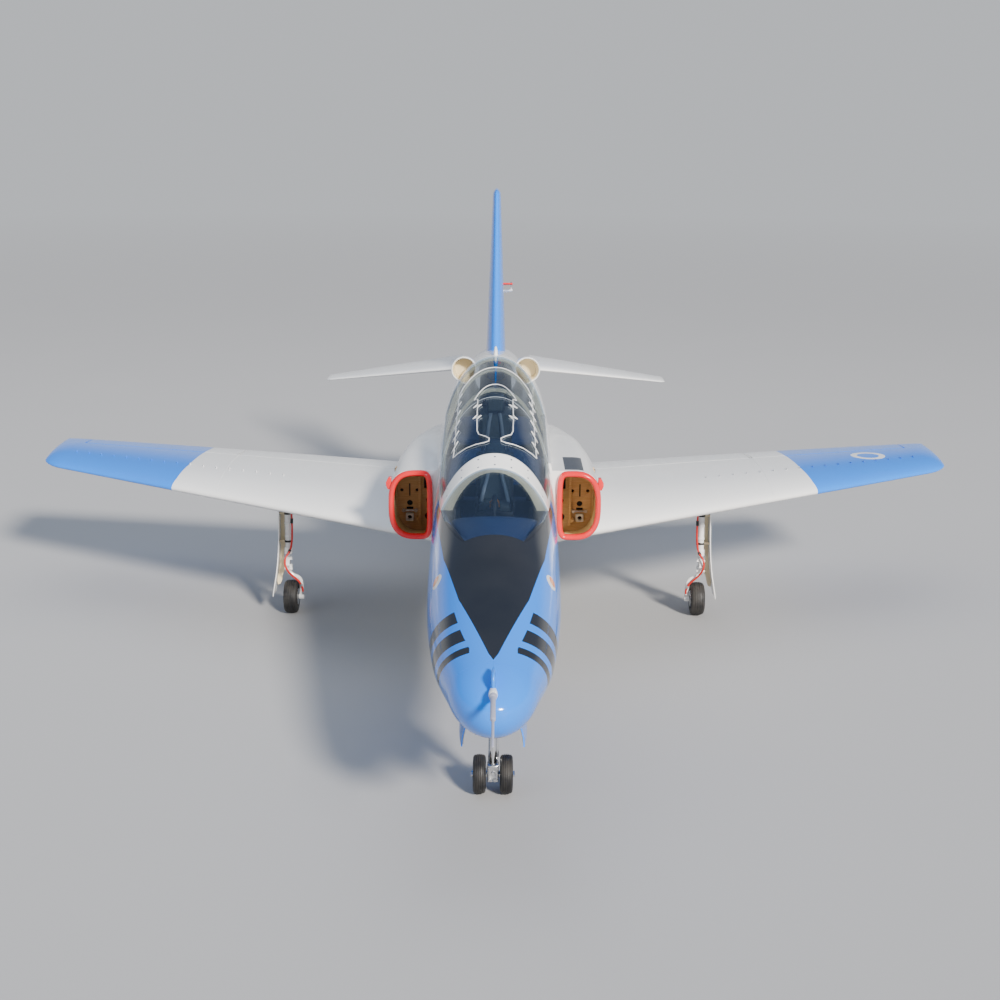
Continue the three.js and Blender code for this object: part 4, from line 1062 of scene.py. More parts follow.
def canopy():
    front_edge, rear_edge = CANOPY_FRONT + HOOP_WIDTH, CANOPY_END - 12
    shell = body_shell("canopy_moulding", CANOPY_FRONT, CANOPY_END, 0, GLAZING + 1, 6,
                       (500, 1260))
    shell = clip(shell, above_sill(CANOPY_FRONT, CANOPY_END, GAP))
    moulding = cut(shell, above_sill(front_edge, rear_edge, SILL_RAIL))
    finish_piece(soften(moulding), white_paint, "canopy_frame", body="canopy")
    ends = front_edge + GAP, rear_edge - GAP
    pane = body_shell("canopy_pane", *ends, 0, GLAZING, 8, (560, 1240))
    pane = clip(pane, above_sill(*ends, SILL_RAIL + GAP))
    finish_piece(pane, clear_glass, "canopy_glass", body="canopy")
    for bevel, hoop in (
            (0.5, ("hoop_mid", 862, 868, GLAZING + 0.4, GLAZING + 6, 4, 20)),
            (0.5, ("hoop_rear", 1050, 1057, GLAZING + 0.4, GLAZING + 6.5, 4, 20)),
            (0.8, ("hoop_front_liner", CANOPY_FRONT + 0.6, CANOPY_FRONT + 30, 3.2, 8, 5, 15, 19)),
            (0.8, ("hoop_rear_liner", CANOPY_END - 26, CANOPY_END - 0.6, 3.2, 7, 5, 15, 11))):
        finish_piece(soften(arch(*hoop), bevel), cream_paint, body="canopy")
    for name, side in SIDES:
        path = [(side * (abs(on_rail(s)[0]) - 5.5), s, sill_z(s) + 8.5)
                for s in np.linspace(CANOPY_FRONT + 26, CANOPY_END - 14, 60)]
        finish_piece(tube(f"canopy_rail_{name}", path, 3.2, 12), cream_paint, body="canopy")
    det_cord()
    screws = [dome(on_body(s, x, 0), body_normal(s, x), 1.5)
              for s in (544, 563) for x in (-84, -72, -50, -25, 0, 25, 50, 72, 84)]
    screws += [dome(on_rail(s) * [side, 1, 1], (side * 0.93, 0, 0.36), 1.4)
               for s in np.arange(610, 1200, 73.0) for side in (1, -1)]
    finish_piece(joined("canopy_screws", screws), chrome, body="canopy", slot="white_gloss")


def on_rail(s):
    """Point of the body's side a little above the sill."""
    half, top, _, waist = body_size(s)
    z = sill_z(s) + SILL_RAIL / 2
    u = (z - waist) / (top - waist)
    return np.array([half * (1 - u ** UPPER) ** (1 / UPPER), s, z])


def dome(place, normal, radius):
    """Low domed screw head with a round recess, sunk a little into the surface."""
    profile = [(radius, -0.5), (radius, 0.12), (radius * 0.8, 0.38), (radius * 0.42, 0.5),
               (radius * 0.36, 0.2), (POINT, 0.2)]
    return spun("screw", profile, place, normal, 12)


def det_cord():
    """White shattering cord moulded on the glazing: an outline with small barbs."""
    def lay(spots):
        return [on_body(s, x, -0.15) for s, x in spots]

    arch = [(882 - 66 * (abs(x) / 35) ** 2.4, x) for x in np.linspace(-35, 35, 33)]
    parts = [tube("cord", lay(arch), 0.95, 8)]
    for side in (1, -1):
        edge = [(816, 35), (812, 31), (806, 29)]
        for s in (764, 706):
            edge += [(s + 12, 29), (s + 7, 35.5), (s + 1, 22.5), (s - 6, 29)]
        edge += [(672, 28.5), (648, 28), (632, 25), (620, 16), (611, 9), (603, 9.5), (601, 16),
                 (605, 30), (613, 44), (624, 57), (634, 65)]
        parts.append(tube("cord", lay([(s, side * x) for s, x in edge]), 0.95, 8))
        outer = [(634, 65)]
        for s in (662, 712, 770, 832, 896, 960):
            outer += [(s, 64), (s + 6, 68.5), (s + 13, 58.5), (s + 20, 64)]
        outer += [(1000, 64), (1020, 58), (1032, 44)]
        parts.append(tube("cord", lay([(s, side * x) for s, x in outer]), 0.95, 8))
    rear = [(1032 + 10 * (1 - (x / 44) ** 2), x) for x in np.linspace(-44, 44, 25)]
    parts.append(tube("cord", lay(rear), 0.95, 8))
    finish_piece(joined("shatter_cord", parts), cord_white, body="canopy")


def windscreen():
    """Windscreen with its painted front corners, and the blast screen between the seats."""
    ends = WINDSCREEN_FRONT, CANOPY_FRONT - GAP
    pane = clip(body_shell("windscreen_pane", *ends, 0, GLAZING, 6, (350, 560)),
                above_sill(*ends, GAP))
    corners = []
    for side in (1, -1):
        outline = [(side * 40, WINDSCREEN_FRONT - 6), (side * 140, WINDSCREEN_FRONT - 6),
                   (side * 140, 530), (side * 88, 530)]
        corners.append(loft("corner", [[(x, s, z) for x, s in outline] for z in (300, 460)]))
    deck = copy_of(pane, "glare_shield_skin")
    finish_piece(cut(pane, *corners, keep=corners), screen_glass, "windscreen")
    finish_piece(clip(deck, fuse(*corners)), hull_paint, slot="blue_gloss")
    blast = clip(body_shell("blast_arch", 600, 640, 14, 15.6, 10, (580, 660)),
                 above_sill(600, 640, 3))
    finish_piece(blast, screen_glass, "blast_screen")


def cockpit():
    front, back, floor = WINDSCREEN_FRONT + 3, 1196, 292

    tray = cut(body_solid("cockpit_liner", front, back, 4), above_sill(front - 5, back + 5, -1))
    tray = cut(clip(tray, block((-150, 150), (front, back), (floor, 500))),
               clip(body_solid("well", front + 3, back - 3, 7),
                    block((-150, 150), (front, back), (floor + 3, 600))))
    finish_piece(tray, tub_plastic, "cockpit_tub")
    for i, (s0, s1, crown) in enumerate(((front + 1, 500, 10), (748, 862, 30), (1040, back, 16))):
        rings = []
        for s in np.linspace(s0, s1, 18):
            t = (s - s0) / (s1 - s0)
            rise = crown * math.sin(math.pi * min(0.12 + t * 0.88, 1) / 2)
            half = abs(on_rail(s)[0]) - 10
            limit = on_body(s, 0, 14)[2] - sill_z(s) if s < 520 else 90
            rise = min(rise, max(limit, 2))
            a = np.linspace(0, np.pi, 33)
            top = at_station(s, half * np.cos(a), sill_z(s) - 8 + rise * np.sin(a) ** 0.7)
            low = at_station(s, half * 0.96 * np.cos(a[::-1]), np.full(33, sill_z(s) - 14))
            rings.append(np.concatenate([top, low]))
        finish_piece(soften(loft(f"deck_shroud_{i + 1}", rings), 1.0), tub_plastic)
    for i, (s, top) in enumerate(((497, 352), (858, 366))):
        instrument_panel(f"instruments_{i + 1}", s, top)
    for name, s, head in (("front", 668, 428), ("rear", 962, 452)):
        ejection_seat(name, s, head)
        stick = [rod((0, s - 66, 297), (0, s - 60, 336), 2.2),
                 spun("grip", [(2, 0), (4.4, 3), (4.8, 10), (3.6, 18), (4.6, 24), (2, 28)],
                      (0, s - 60, 334), (0, 0.08, 1), 16)]
        for side in (1, -1):
            stick.append(soften(block((side * 54, side * 82), (s - 120, s + 40), (296, 318)), 2))
            stick.append(rod((side * 62, s - 50, 316), (side * 62, s - 40, 334), 1.6))
        finish_piece(joined(f"controls_{name}", stick), black_plastic)


def instrument_panel(name, s, top):
    rings = [[(x, s + d, z) for x, z in ((-62, 300), (62, 300), (66, top - 10), (54, top - 2),
                                         (-54, top - 2), (-66, top - 10))] for d in (-4, 0)]
    finish_piece(soften(loft(name, rings), 1.0), grey_plastic, slot="cockpit_blue")
    dials = []
    for x, z, r in ((-44, 340, 8), (-24, 341, 8), (0, 338, 11), (24, 341, 8), (44, 340, 8),
                    (-40, 318, 7), (-20, 318, 7), (20, 318, 7), (40, 318, 7)):
        z = z + top - 354
        profile = [(r, 0), (r, 2), (r - 1, 2.6), (r - 1.8, 1.2), (POINT, 1.2)]
        dials.append(spun("dial", profile, (x, s - 0.4, z), (0, 1, 0), 24))
    finish_piece(joined(name + "_dials", dials), black_plastic)


def ejection_seat(name, s, head):
    """Seat with a bucket, padded back, head box, straps and an orange pull handle."""
    frame_parts = [
        soften(block((-31, 31), (s, s + 60), (296, 320)), 3),
        soften(block((-30, 30), (s + 52, s + 64), (300, head - 22)), 3),
        soften(block((-17, 17), (s + 46, s + 66), (head - 34, head)), 4)]
    for side in (1, -1):
        frame_parts.append(rod((side * 26, s + 66, 300), (side * 20, s + 70, head - 8), 2.4))
        frame_parts.append(soften(block((side * 27, side * 32), (s + 4, s + 50), (318, 334)), 1.5))
    finish_piece(joined(f"seat_shell_{name}", frame_parts), black_plastic, f"seat_{name}")
    pads = []
    for x0, x1, s0, s1, z0, z1 in ((-25, 25, s + 4, s + 52, 319, 329),
                                   (-24, 24, s + 44, s + 54, 330, head - 38),
                                   (-13, 13, s + 40, s + 48, head - 30, head - 4)):
        pad = block((x0, x1), (s0, s1), (z0, z1))
        round_off = pad.modifiers.new("s", "SUBSURF")
        round_off.levels = round_off.render_levels = 3
        edge = pad.modifiers.new("b", "BEVEL")
        edge.width, edge.segments = 2.5 * MM, 2
        pad.modifiers.move(1, 0)
        pads.append(bake(pad))
    finish_piece(joined(f"seat_pads_{name}", pads), seat_cloth)
    straps = []
    for side in (1, -1):
        path = curve_through([(side * 8, s + 43, head - 34), (side * 12, s + 41, head - 60),
                              (side * 17, s + 36, 350), (side * 22, s + 24, 331)], 6)
        straps.append(tube("strap", path, 3.2, 8, flat=0.35))
    finish_piece(joined(f"seat_straps_{name}", straps), grey_plastic)
    handle = curve_through([(-7, s + 1, 328), (-6, s - 3, 338), (0, s - 4, 341), (6, s - 3, 338),
                            (7, s + 1, 328)], 6)
    finish_piece(tube(f"seat_handle_{name}", handle, 1.5, 8), orange_plastic)


canopy()
windscreen()
cockpit()


# ------------------------------------------------------------------ intakes, former, scoops

def intake_lip(name, side):
    """Bell-mouthed red lip round the intake."""
    path = d_ring(TRUNK_START, side, DUCT_INNER, 4.6, 96)
    ahead = np.roll(path, -1, 0) - np.roll(path, 1, 0)
    out = np.cross(ahead, (0, 1, 0))
    out /= np.linalg.norm(out, axis=1)[:, None]
    a = turn(20)
    rings = []
    for p, n in zip(path, out):
        ring = p + 5.0 * np.cos(a)[:, None] * n
        ring[:, 1] = LIP + 1 + 7.6 * np.sin(a)
        rings.append(ring)
    o = loft("intake_lip_ring_" + name, rings, ringed=True)
    finish_piece(o, red_paint, f"intake_lip_{name}")
    outline = [(173, 326), (179, 326), (182, 333), (182, 338), (178, 346), (173, 346)]
    tab = loft("intake_tab_" + name, [[(side * x, s, z) for x, z in outline]
                                      for s in (LIP + 1, LIP + 16)])
    finish_piece(soften(tab, 1), red_paint)
    wall = body_shell("intake_splitter_" + name, TRUNK_START - 3, FORMER - 10, -3.4, 0.6, 10,
                      (TRUNK_START - 30, FORMER + 20))
    wall = clip(wall, block((side * 60, side * 130), (700, 1000), (236, 372)))
    finish_piece(wall, hull_paint)


def intake_duct(name, side):
    outer = d_solid("duct_shell_" + name, LIP + 2, FORMER - GAP, side, DUCT_INNER, 3.0)
    o = cut(outer, d_solid("in", LIP - 10, FORMER + 20, side, DUCT_INNER, 5.2))
    finish_piece(o, duct_ply, f"intake_duct_{name}")
    battens = [(x, x + 5, 24, 1, z, z + 5)
               for x, z in ((133, 246), (133, 337), (169, 250), (168, 334))]
    battens += [(129, 134, 9, 0.5, 236, 344), (170, 173, 9, 0.5, 240, 340)]
    finish_piece(joined(f"duct_battens_{name}", [
        soften(block((side * x0, side * x1), (FORMER - s0, FORMER - s1), (z0, z1)))
        for x0, x1, s0, s1, z0, z1 in battens]), ply)


def mouth_plate():
    """Face that closes the gap between the hull's edge and the ducts at the intakes."""
    face = loft("mouth_plate", [hull_ring(s, 0.4) for s in (TRUNK_START - 1.9, TRUNK_START)])
    ducts = [d_solid("duct", TRUNK_START - 9, TRUNK_START + 9, side, DUCT_INNER, 5)
             for side in (1, -1)]
    face = cut(face, body_solid("body", TRUNK_START - 20, TRUNK_START + 20, 1), *ducts)
    finish_piece(face, white_paint)


def former():
    s0, s1 = FORMER, FORMER + 4
    plate = loft("main_frame", [hull_ring(s, 2.9) for s in (s0, s1)])
    ss = (s0 - 9, s1 + 9)
    tools = [block((-98.5, 98.5), ss, (287, 500)), block((-52, 52), ss, (212, 268))]
    for side in (1, -1):
        tools += [block((side * 148, side * 150.4), ss, (286, 309)),
                  block((side * 143, side * 155), ss, (262, 267)),
                  block((side * 112, side * 124), ss, (300, 330))]
        for x, z, r in ((149, 274, 5), (149, 250, 4.5), (116, 250, 7), (116, 279, 5),
                        (163, 297, 3), (136, 297, 3)):
            tools.append(rod((side * x, ss[0], z), (side * x, ss[1], z), r))
    finish_piece(soften(cut(plate, *tools), 0.3), ply, "main_former")
    for name, side in SIDES:
        clamp = [rod((side * 136, s0 - 4, CLAMP_Z), (side * 162, s0 - 4, CLAMP_Z), 1.8)]
        clamp += [rod((side * x, s0, CLAMP_Z), (side * x, s0 - 7, CLAMP_Z), 3)
                  for x in (138, 160)]
        finish_piece(joined(f"wing_clamp_{name}", clamp), alloy)
        lug = soften(block((side * 142, side * 156), (s0 - 10, s0 - 0.2), (243, 257)), 2)
        lug = cut(lug, rod((side * 149, s0 - 20, 250), (side * 149, s0 + 9, 250), 4))
        lug.name = f"tie_lug_{name}"
        finish_piece(lug, cord_white)
        # Black plate behind the former's slots: painted shade, a dark sheet that stands in for the
        # shadow seen through the slots, not a part of the model.
        shadow_plate = block((side * 111, side * 176), (s1 + 6, s1 + 8), (240, 334),
                      name=f"painted_shade_behind_former_{name}")
        finish_piece(shadow_plate, black_plastic, slot="plywood")


def scoop(name, side):
    """Round scoop behind the canopy, faired into the body, with a lined bore."""
    rows = ((1225.2, 22.5, 61, 463), (1224.4, 23.4, 61, 463), (1225.2, 24.3, 61, 463),
            (1228, 24.6, 61, 463), (1245, 24.4, 60.5, 462), (1262, 23.6, 60, 460),
            (1286, 21, 59, 456), (1310, 17, 57, 451.5), (1336, 11, 55, 447.5),
            (1352, 6, 53.5, 446))

    def ring(s, r, x, z):
        a = turn(40)
        return at_station(s, side * (x + r * np.cos(a)), z + r * np.sin(a))

    shell = loft("scoop_shell_" + name, [ring(*row) for row in rows])
    bore = loft("bore", [ring(1215, 22.4, 61, 463), ring(1228, 22.2, 61, 463),
                         ring(1256, 20.5, 60, 461)])
    body = body_solid("body", 1200, 1370, 0.4)
    finish_piece(cut(shell, bore, body, keep=(body,)), white_paint, f"scoop_{name}")
    lining = loft("scoop_lining_" + name, [ring(1227, 22.3, 61, 463), ring(1257, 20.8, 60, 461)])
    hollow = loft("bore", [ring(1215, 21.4, 61, 463), ring(1227, 21.4, 61, 463),
                           ring(1253, 18.5, 60, 461.4)])
    finish_piece(cut(lining, hollow, body), cream_paint)


for side_name, side in SIDES:
    intake_lip(side_name, side)
    intake_duct(side_name, side)
    scoop(side_name, side)
former()
mouth_plate()


def probe():
    """Air-data boom standing off the nose on a faired blade."""
    boom = [(POINT, -153.5), (1.0, -153.3), (1.5, -152), (1.8, -78), (2.6, -77), (3.3, -75),
            (3.3, -8), (4.3, -7), (4.9, -4), (5.0, 8), (3.2, 20), (2.0, 24), (POINT, 24.6)]
    finish_piece(spun("probe_boom", boom, (0, 0, PROBE_Z), (0, 1, 0), 24), probe_paint,
                 "pitot_probe")
    collar = [(3.4, -2), (5.2, -1), (5.6, 3), (5.3, 10), (3.2, 26), (2.4, 26)]
    finish_piece(spun("probe_collar", collar, (0, 0, PROBE_Z), (0, 1, 0), 24, True), white_paint)
    rings = []
    for z, s0, s1, half in ((243, 9, 62, 4.2), (256, 10, 58, 3.6), (270, 12, 54, 3.2),
                            (281, 15, 50, 3.0), (284, 18, 47, 2.0), (285, 22, 42, 0.6)):
        f, h = section(s1 - s0, 2 * half / (s1 - s0), count=20).T
        rings.append(np.stack([h * (s1 - s0), s0 + f * (s1 - s0), np.full(len(f), z)], 1))
    finish_piece(loft("probe_blade", rings), blue_paint)


def aerial():
    """Small blade aerial behind the canopy."""
    foot = on_body(1236, 0, 1)
    rings = []
    for t, length, width in ((0, 30, 4.6), (0.5, 22, 3.6), (0.92, 15, 2.2), (1.0, 12, 0.6)):
        f, h = section(length, width * 2 / length, count=14).T
        rings.append(np.stack([h * length, foot[1] - 12 + 8 * t + f * length,
                               np.full(len(f), foot[2] + 17 * t)], 1))
    finish_piece(loft("blade_aerial", rings), white_paint)


probe()
aerial()


# ------------------------------------------------------------------ wheels and main gear

def tyre(name, centre, radius, rim, half, grooves, body, *nodes):
    """Tyre with rounded shoulders, scored tread, side-wall ribs and beads on the rim."""
    middle = rim + (radius - rim) * 0.42

    def reach(h):
        return middle + (radius - middle) * (1 - min(abs(h) / half, 1) ** 2.7) ** (1 / 2.7)

    hs = sorted(set(np.round(half * np.sin(np.linspace(-np.pi / 2, np.pi / 2, 37)), 3)))
    profile = []
    for h in hs:
        if all(abs(h - g) > 0.75 for g in grooves):
            profile.append((reach(h), h))
    for g in grooves:
        profile += [(reach(g - 0.7), g - 0.7), (reach(g) - 1.1, g - 0.42),
                    (reach(g) - 1.1, g + 0.42), (reach(g + 0.7), g + 0.7)]
    profile.sort(key=lambda p: p[1])
    rib = rim + (radius - rim) * 0.28
    high = [(rib + 0.8, half - 0.05), (rib, half + 0.25), (rib - 0.8, half - 0.2),
            (rim + 0.9, half * 0.84), (rim, half * 0.72)]
    low = [(r, -h) for r, h in high[::-1]]
    o = spun(name, low + profile + high, centre, (1, 0, 0), 80, ringed=True)
    finish_piece(o, tyre_rubber, *nodes, body=body)


def hub(name, centre, rim, half, body, axle, *nodes):
    """Turned alloy wheel: deep rim, drilled web, boss and clamp bolts."""
    outline = [(rim - 1.6, -half + 0.4), (rim - 0.3, -half), (rim + 0.4, -half + 0.5),
               (rim - 0.4, -half + 1.6), (rim - 0.4, half - 1.6), (rim + 0.4, half - 0.5),
               (rim - 0.3, half), (rim - 1.6, half - 0.4), (rim - 2.4, 2.6), (8.2, 1.8),
               (7.2, half * 0.95), (6.2, half + 1), (axle, half + 1), (axle, -half - 1),
               (6.2, -half - 1), (7.2, -half * 0.95), (8.2, -1.8), (rim - 2.4, -2.6)]
    o = spun(name, outline, centre, (1, 0, 0), 64, ringed=True)
    middle = (8.2 + rim - 2.4) / 2
    holes, bolts = [], []
    for i in range(6):
        a = math.pi / 3 * i
        y, z = math.cos(a), math.sin(a)
        place = np.asarray(centre, float) + [0, middle * y, middle * z]
        holes.append(rod(place - [9, 0, 0], place + [9, 0, 0], (rim - 11) / 3.2))
        b = np.asarray(centre, float) + [0, (rim - 3.6) * -z, (rim - 3.6) * y]
        for way in (1, -1):
            bolts.append(rod(b + [way * 2, 0, 0], b + [way * 4.4, 0, 0], 0.9, segments=6))
    finish_piece(cut(o, *holes), alloy, *nodes, body=body)
    finish_piece(joined(name + "_bolts", bolts), chrome, body=body, slot="aluminium")


def main_gear(name, side):
    s, x0 = MAIN_STATION, MAIN_LEG_X
    leg, piston, wheel = (f"main_{part}_{name}" for part in ("leg", "piston", "wheel"))

    def at(x, ds, z):
        return (side * (x0 + x), s + ds, z)

    bore = [(POINT, 201), (4.5, 201), (4.5, 118), (7.2, 118), (7.9, 118.8), (7.9, 121),
            (7.3, 121.4), (7.3, 122.4), (7.9, 122.8), (7.9, 129), (7.5, 130.4), (5.8, 132)]
    ribs = [p for z in (150, 176) for p in ((5.8, z), (6.7, z + 0.8), (6.7, z + 4),
                                            (5.8, z + 5))]
    top = [(5.8, 208), (7.4, 211), (7.6, 226), (7, 227), (7, 232), (POINT, 232)]
    body = spun("leg_tube_" + name, bore + ribs + top, at(0, 0, 0), (0, 0, 1), 40)
    pivot = rod(at(0, -13.5, MAIN_PIVOT_Z), at(0, 13.5, MAIN_PIVOT_Z), 7, segments=32)
    finish_piece(fuse(body, pivot), white_paint, f"main_leg_{name}", body=leg, slot="leg_white")
    clips = [spun("clip", [(5.9, z), (7, z), (7, z + 3.6), (5.9, z + 3.6)], at(0, 0, 0),
                  (0, 0, 1), 32, True) for z in (141, 196)]
    clips += [rod(at(-5, -4, z + 2), at(-9.5, -8.5, z + 2), 1.4) for z in (141, 196)]
    finish_piece(joined("leg_clips_" + name, clips), black_plastic, body=leg, slot="servo_black")

    stem = spun("piston_rod_" + name, [(POINT, 80), (4.1, 80.4), (4.1, 185.5), (POINT, 186)],
                at(0, 0, 0), (0, 0, 1), 32)
    finish_piece(stem, chrome, f"main_piston_{name}", body=piston)
    bend = curve_through([at(0, 0, 92), at(-0.6, 0, 82), at(-8, 0, 75), at(-18, 0, 70),
                          at(-22.6, 0, 62), at(-23.5, 0, 46), at(-23.5, 0, 30)], 8)
    arm = [tube("arm", bend, 4.0, 20),
           spun("cup", [(4.4, 84), (6.6, 84.5), (6.8, 95), (6.2, 97), (4.4, 97)], at(0, 0, 0),
                (0, 0, 1), 28, True),
           rod(at(-28, 0, MAIN_AXLE_Z), at(-18.6, 0, MAIN_AXLE_Z), 5.4, segments=28)]
    finish_piece(joined("axle_arm_" + name, arm), white_paint, body=piston, slot="leg_white")
    axle = [rod(at(-23, 0, MAIN_AXLE_Z), at(9, 0, MAIN_AXLE_Z), 3),
            rod(at(8.2, 0, MAIN_AXLE_Z), at(11, 0, MAIN_AXLE_Z), 4.6, segments=6),
            spun("disc", [(6, -17.5), (15.5, -17.5), (15.5, -15.9), (6, -15.9)],
                 at(0, 0, MAIN_AXLE_Z), (side, 0, 0), 48, True)]
    finish_piece(joined("axle_parts_" + name, axle), alloy, body=piston, slot="chrome_steel")
    centre = at(-4, 0, MAIN_AXLE_Z)
    hub("wheel_hub_" + name, centre, 19, 10, wheel, 3.4, f"main_hub_{name}")
    tyre("wheel_tyre_" + name, centre, 32, 19, 13, (-6.6, -2.2, 2.2, 6.6), wheel,
         f"main_tyre_{name}")
    torque_link(name, at)
    brake_line(name, at, leg, piston)
    leg_door(name, side, at, leg)


def torque_link(name, at):
    """White folding link ahead of the sliding rod, with a cross pin at each joint."""
    parts = [spun("band", [(4.3, 106), (6.2, 106.4), (6.2, 111.6), (4.3, 112)], at(0, 0, 0),
                  (0, 0, 1), 28, True),
             spun("band", [(4.2, 88), (6.2, 88.4), (6.2, 92.6), (4.2, 93)], at(0, 0, 0),
                  (0, 0, 1), 28, True)]
    for z in (110, 90):
        parts += [rod(at(-8, -9, z), at(8, -9, z), 2.4, segments=16),
                  rod(at(0, -9, z), at(0, -4, z), 3.0, segments=16)]
    parts.append(rod(at(-4, -17, 100), at(4, -17, 100), 2.2, segments=16))
    for x in (-1.7, 1.7):
        parts += [rod(at(x, -9, 110), at(x, -17, 100), 1.9, segments=12),
                  rod(at(x, -17, 100), at(x, -9, 90), 1.9, segments=12)]
    o = joined("torque_link_" + name, parts)
    o.data.materials.append(white_paint)
    bend_between(o, at(0, 0, 108), at(0, 0, 93))


def bend_between(o, start, end):
    """Applies the piece's placement to its mesh; start and end are not used."""
    [tuple(p) for p in frame_points([start, end])]
    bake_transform(o)


def brake_line(name, at, leg, piston):
    path = curve_through([at(-5, -7, 226), at(-8.5, -9.5, 205), at(-9.5, -10, 185),
                          at(-9.5, -10.5, 165), at(-8.5, -11, 145), at(-5, -12.5, 128),
                          at(3.5, -20.5, 113), at(3, -22, 97), at(-4, -15, 82),
                          at(-14, -10.5, 71), at(-21.5, -8, 62), at(-26, -6, 50),
                          at(-26, -3, 40)], 7)
    o = tube("brake_line_" + name, path, 1.9, 12)
    o.data.materials.append(red_line)
    bend_between(o, at(0, 0, 118), at(0, 0, 92))
    ends = [rod(at(-23, -7.4, 59), at(-25.2, -6.6, 54.5), 2.6, segments=12),
            rod(at(-26.2, -3.6, 43), at(-25.6, -1.6, 37), 2.6, segments=12)]
    finish_piece(joined("line_fittings_" + name, ends), alloy, body=piston)
    upper = [rod(at(-9, -10, 180), at(-9.5, -10, 190), 2.7, segments=12),
             rod(at(-5.4, -12.3, 129), at(-1.6, -13, 122), 2.8, segments=12)]
    finish_piece(joined("line_unions_" + name, upper), black_plastic, body=leg, slot="servo_black")


def leg_door(name, side, at, leg):
    """Leg door: a curved outer plate that widens downward, with a stiffening web inside."""
    rows = [(222, 12, 13), (205, 13, 17), (180, 13.8, 18), (150, 14.5, 19), (125, 15.5, 20.5),
            (98, 18, 22), (80, 20.5, 23), (60, 24, 23.5), (44, 27, 22), (36, 28.4, 18)]
    rings = []
    for z, offset, half in rows:
        u = np.linspace(-1, 1, 17)
        inner = [at(offset + 1.8 * (1 - v * v), v * half, z) for v in u]
        outer = [at(offset + 2 + 1.8 * (1 - v * v), v * half, z) for v in u[::-1]]
        rings.append(inner + outer)
    plate = soften(loft("door_plate_" + name, rings), 0.4)
    finish_piece(plate, white_paint, f"main_leg_door_{name}", body=leg, slot="leg_white")
    edge = [(z, off + 0.6) for z, off, _ in rows if 60 <= z <= 205]
    inner = [(205, 3), (124, 4), (117, 10.6), (100, 10.6), (95, 5), (88, 5), (80, 10),
             (72, 13.5), (62, 15.5), (54, 18.5)]
    outline = [(x, z) for z, x in inner] + [(23.5, 52)] + [(x, z) for z, x in edge[::-1]]
    straps = [loft("door_web_" + name, [[at(x, ds, z) for x, z in outline]
                                        for ds in (11.5, 13.5)])]
    for z in (196, 141):
        off = np.interp(z, [r[0] for r in rows[::-1]], [r[1] for r in rows[::-1]])
        straps.append(soften(block([side * (MAIN_LEG_X + d) for d in (6, off + 1.5)],
                                   (MAIN_STATION - 3, MAIN_STATION + 3), (z, z + 4))))
    finish_piece(joined("door_frame_" + name, straps), cream_paint, body=leg, slot="leg_white")


for side_name, side in SIDES:
    main_gear(side_name, side)


# ------------------------------------------------------------------ nose gear and doors

